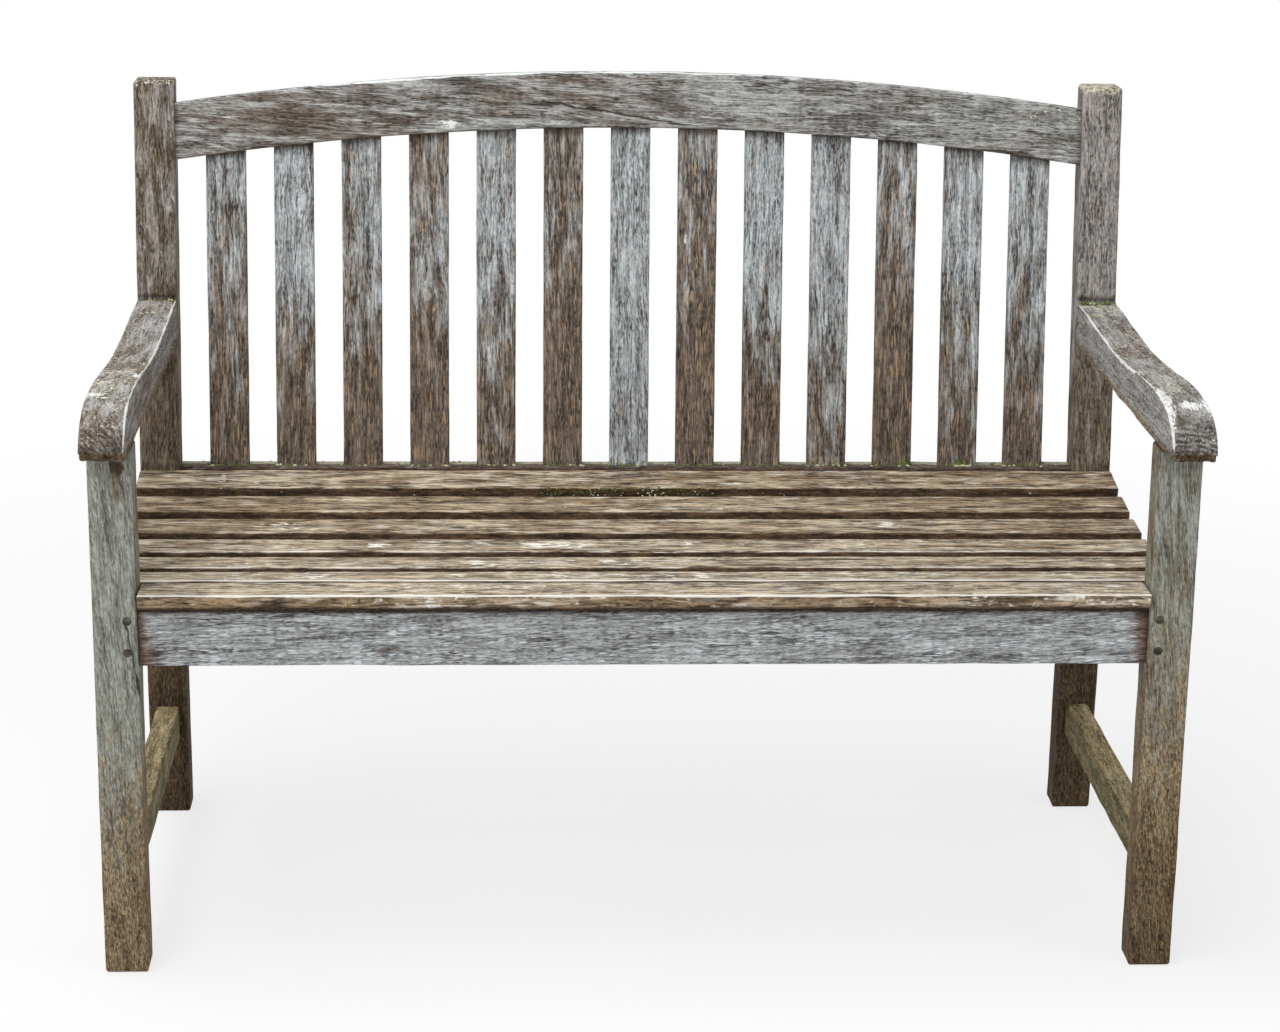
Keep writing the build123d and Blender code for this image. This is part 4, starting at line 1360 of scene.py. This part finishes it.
def arm_soil(points, normals):
    return 0.75 * smooth_step(points[:, 2], leg_top + lip * 1.4, leg_top + lip * 0.7)


# Painted shade on the lip under the nose, and the dark joint where the arm meets its post.
def arm_shade(points, normals):
    at_lip = smooth_step(points[:, 2], leg_top + lip * 1.1, leg_top + lip * 0.6)
    at_lip *= points[:, 1] < front_y + 0.02
    at_post = smooth_step(points[:, 1], arm_rear_y - 0.004, arm_rear_y)
    return 0.5 * at_lip + 0.7 * at_post


def arm_lichen(points, normals):
    at_left = points[:, 0] < 0
    crown = smooth_step(np.abs(points[:, 1] - front_y - 0.09), 0.13, 0.02) * np.where(at_left, 0.20, 0.12)
    at_post = smooth_step(points[:, 1], arm_rear_y - 0.10, arm_rear_y) * np.where(at_left, 0.0, 0.32)
    return (0.16 + crown + at_post) * faces_up(normals, 0.1, 0.7)


# Bleached grey by the weather; the inner faces are painted paler still, partly as painted light, most on the
# right arm.
def arm_bleach_and_light(points, normals):
    inside = smooth_step(-normals[:, 0] * np.sign(points[:, 0]), 0.5, 0.9)
    return np.where(points[:, 0] < 0, 0.45 + 0.10 * inside, 0.60 + 0.35 * inside)


# where each crown is scraped, from above: x, y and the half sizes
crown_scars = {
    "left": [(-0.594, -0.2374, 0.016, 0.006), (-0.556, -0.150, 0.006, 0.010)],
    "right": [(0.580, -0.262, 0.014, 0.012), (0.598, -0.262, 0.006, 0.020), (0.556, -0.250, 0.006, 0.05)]}
arm_pith = {"left": (0.045, 0.040), "right": (0.075, 0.006)}  # how far below and beside it the pith was
print("the arms meet the posts", round(arm_rear_y - front_y, 3), "m behind the legs' faces")

# %% Armrests
for seed, (name, side) in enumerate(sides.items(), start=91):
    node = f"armrest_{name}"
    outline = arm_profile(node, side * leg_x)
    nose_y = outline[-1][0]
    outline = outline[outline[:, 1] > leg_top + lip]
    run = np.concatenate([[0], np.cumsum(np.linalg.norm(np.diff(outline, axis=0), axis=1))])
    length = run[-1]
    rear_y = outline[0][0]

    def arm_path(distance, side=side, outline=outline, run=run, length=length):
        top_y = np.interp(distance, run, outline[:, 0])
        top_z = np.interp(distance, run, outline[:, 1])
        bottom_y = rear_y + (nose_y - rear_y) * distance / length
        ones = np.ones((len(distance), 1))
        low = np.stack([0 * top_y + side * leg_x, bottom_y, 0 * top_y + leg_top], 1)
        high = np.stack([0 * top_y + side * leg_x, top_y, top_z], 1)
        tall = np.linalg.norm(high - low, axis=1)
        upward = (high - low) / tall[:, None]
        return (low + high) / 2, upward, -ones * axis_x, np.stack([tall / 2, 0 * tall + half_width], 1)

    def arm_rub(points, normals, side=side):
        inner = smooth_step(-side * normals[:, 0], 0.1, 0.4)
        return (0.25 + 0.75 * inner) * smooth_step(normals[:, 2] - normals[:, 1], 0.2, 0.6)

    def arm_moss(points, normals, side=side):
        return (0.42 if side > 0 else 0.2) * smooth_step(points[:, 1], arm_rear_y - 0.035, arm_rear_y)

    def arm_scar(points, normals, spots=crown_scars[name]):
        return 0.66 * blobs(points[:, [0, 2, 1]], *spots) * faces_up(normals, 0.0, 0.4)

    board("worn_" + node, node, "arm_wood", arm_path, length, (-axis_y, axis_z, axis_x), seed,
          edge=0.003, columns=(18, 28), spacing=0.003, end_round=0.0016, bleach=arm_bleach_and_light, soil=arm_soil,
          moss=arm_moss, lichen=arm_lichen, shade=arm_shade, rub=arm_rub, scar=arm_scar, ragged=crumbled,
          pith=arm_pith[name])
print("two armrests reach from the posts to their noses")

# %% [markdown]
# ## Pegs and screws
#
# Each tenon is held by a turned peg, cut off almost flush. Only the sawn end shows, a dark disc of end
# grain with a soft rim. A peg is drawn as one turned profile, set wherever the frame has a peg. The screws
# that hold the seat slats are driven from below. They stay as the frame made them and are given dull brass.

# %% Finding the pegs


def loose_parts(node):
    """The separate solids of one node, each as an array of points."""
    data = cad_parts[node].data
    points, which = np.unique(np.round(frame_points(node), 5), axis=0, return_inverse=True)
    which = which.ravel()
    edges = np.array([which[list(edge.vertices)] for edge in data.edges])
    label = np.arange(len(points))
    while True:
        lowest = label.copy()
        np.minimum.at(lowest, edges[:, 0], label[edges[:, 1]])
        np.minimum.at(lowest, edges[:, 1], label[edges[:, 0]])
        if (lowest == label).all():
            return [points[label == number] for number in np.unique(label)]
        label = lowest


print(len(loose_parts("front_rail_pegs")), "pegs hold the front rail")

# %% One peg's rings
peg_rows = ((0.0, 0.0002), (0.0030, 0.0002), (0.0046, 0.0001), (0.0050, -0.0006))  # radius and height
peg_depth = 0.012
peg_columns = 28


def peg_rings(part):
    """One peg's rings, from its sawn end down into the wood, along the part's longest side."""
    low, high = part.min(0), part.max(0)
    axis = int(np.argmax(high - low))
    middle = (low + high) / 2
    outward = np.sign(middle[axis])
    end = (high if outward > 0 else low)[axis]
    first, second = [other for other in range(3) if other != axis]
    turn = np.arange(peg_columns) * 2 * pi / peg_columns * outward * (-1 if axis == 1 else 1)
    rings = []
    for radius, height in (*peg_rows, (peg_rows[-1][0], -peg_depth)):
        ring = np.empty((peg_columns, 3))
        ring[:, axis] = end + outward * height
        ring[:, first] = middle[first] + max(radius, 2e-4) * np.cos(turn)
        ring[:, second] = middle[second] + max(radius, 2e-4) * np.sin(turn)
        rings.append(ring)
    return np.array(rings), axis


print("a peg is", 2000 * peg_rows[-1][0], "mm thick")

# %% Pegs
for seed, node in enumerate(sorted(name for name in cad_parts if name.endswith("_pegs")), start=101):
    rng = np.random.default_rng(seed)
    for count, part in enumerate(loose_parts(node)):
        rings, axis = peg_rings(part)
        mesh = mesh_of_rings(f"{node}_{count}", rings)
        tell(mesh, np.roll(np.eye(3), axis, 0)[[axis, (axis + 1) % 3, (axis + 2) % 3]], rng)
        dress(f"turned_{node}_{count}", mesh, node, "peg_wood")
    print(node, "holds", count + 1, "pegs")

# %% Screws


def aged_brass(name):
    """Brass that has dulled to brown, with a little green in patches."""
    s = Pattern(name)
    place = s.node("ShaderNodeTexCoord", {}).outputs["Object"]
    tarnish = s.noise(place, 3, 3, 3.0, 0.6)
    color = s.mix(s.soft(tarnish, 0.38, 0.62), (0.42, 0.28, 0.10, 1), (0.09, 0.06, 0.03, 1))
    green = s.soft(s.noise(place, 1.2, 1.2, 2.0, shift=4.0), 0.62, 0.75)
    color = s.mix(green, color, (0.10, 0.17, 0.11, 1))
    return s.finish(color, s.soft(tarnish, 0.3, 0.7, 0.38, 0.72), s.times(tarnish, 0.0002),
                    Metallic=s.soft(green, 0.0, 1.0, 1.0, 0.0))


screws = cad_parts["slat_screws"]
for slot in screws.material_slots:
    slot.material = aged_brass("aged_brass")
print("the screws have", len(screws.material_slots), "material slot")

# %% [markdown]
# ## Moss
#
# Colour alone leaves moss flat. Real moss sits on the wood in small cushions, thickest where water stays: at
# the feet of the back slats, in the last gap of the seat and where the right arm meets its post. Here each
# cushion is a small ball, squashed and made uneven, and all of them make one piece.

# %% Moss and lichen colours


def moss_material(name):
    """Green moss in some places and pale lichen in others."""
    s = Pattern(name)
    place = s.node("ShaderNodeTexCoord", {}).outputs["Object"]
    tuft = s.noise(place, 1.6, 1.6, 2.0)
    kind = s.noise(place, 26, 26, 1.0, shift=9.0)
    green = s.mix(s.soft(tuft, 0.35, 0.68), (0.030, 0.052, 0.008, 1), (0.19, 0.27, 0.045, 1))
    pale = s.mix(s.soft(tuft, 0.35, 0.68), (0.30, 0.33, 0.14, 1), (0.70, 0.72, 0.48, 1))
    color = s.mix(s.soft(kind, 0.50, 0.56), green, pale)
    return s.finish(color, 0.95, s.times(tuft, 0.0016), Specular_IOR_Level=0.15, Sheen_Weight=0.25)


print("moss is green, and lichen is pale")

# %% Where the cushions grow
moss_rng = np.random.default_rng(7)
cushions = []


def scatter(count, low, high, size):
    """Adds cushions at random places between two corners."""
    for _ in range(count):
        cushions.append((moss_rng.uniform(low, high), moss_rng.uniform(0.5, 1.0) * size))


rail_low, rail_high = corners("rear_seat_rail")
rail_y, rail_back, rail_z = rail_low[1], rail_high[1], rail_high[2]
scatter(150, (-inner_x + 0.01, rail_y + 0.010, rail_z), (inner_x - 0.01, rail_back - 0.003, rail_z), 0.0018)
for number in range(1, back_slat_count + 1):
    low, high = corners(f"back_slat_{number:02d}")
    scatter(10, (low[0] - 0.002, rail_y + 0.004, rail_z), (high[0] + 0.002, rail_y + 0.009, rail_z), 0.0024)
gap_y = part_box("seat_slat_7")[0].y
gap_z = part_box("seat_slat_7")[1].z
scatter(90, (-0.12, gap_y + 0.0002, gap_z - 0.019), (0.10, gap_y + 0.0006, gap_z - 0.007), 0.0015)
scatter(22, (-0.50, gap_y + 0.0002, gap_z - 0.019), (0.50, gap_y + 0.0006, gap_z - 0.007), 0.0015)
for side, count in ((1, 46), (-1, 14)):
    scatter(count, (side * leg_x - 0.022, arm_rear_y - 0.012, arm_rear_top - 0.001),
            (side * leg_x + 0.022, arm_rear_y, arm_rear_top + 0.001), 0.0019)
print("cushions have", len(cushions), "places to grow")

# %% Moss and lichen cushions
moss_mesh = bpy.data.meshes.new("moss_cushions")
balls = bmesh.new()
for spot, size in cushions:
    squash = Matrix.Diagonal((*(size * moss_rng.uniform(0.8, 1.3, 2)), size * 0.75, 1))
    place = Matrix.Translation(spot) @ squash
    made = bmesh.ops.create_icosphere(balls, subdivisions=2, radius=1.0, matrix=place)
    for vertex in made["verts"]:
        vertex.co += Vector(moss_rng.uniform(-0.12, 0.12, 3) * size)
balls.to_mesh(moss_mesh)
balls.free()
moss_mesh.shade_smooth()
moss_mesh.materials.append(moss_material("moss"))
moss = add_object("moss_cushions", moss_mesh)
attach(moss, "root")
print(len(cushions), "cushions of moss and lichen grow on the bench")
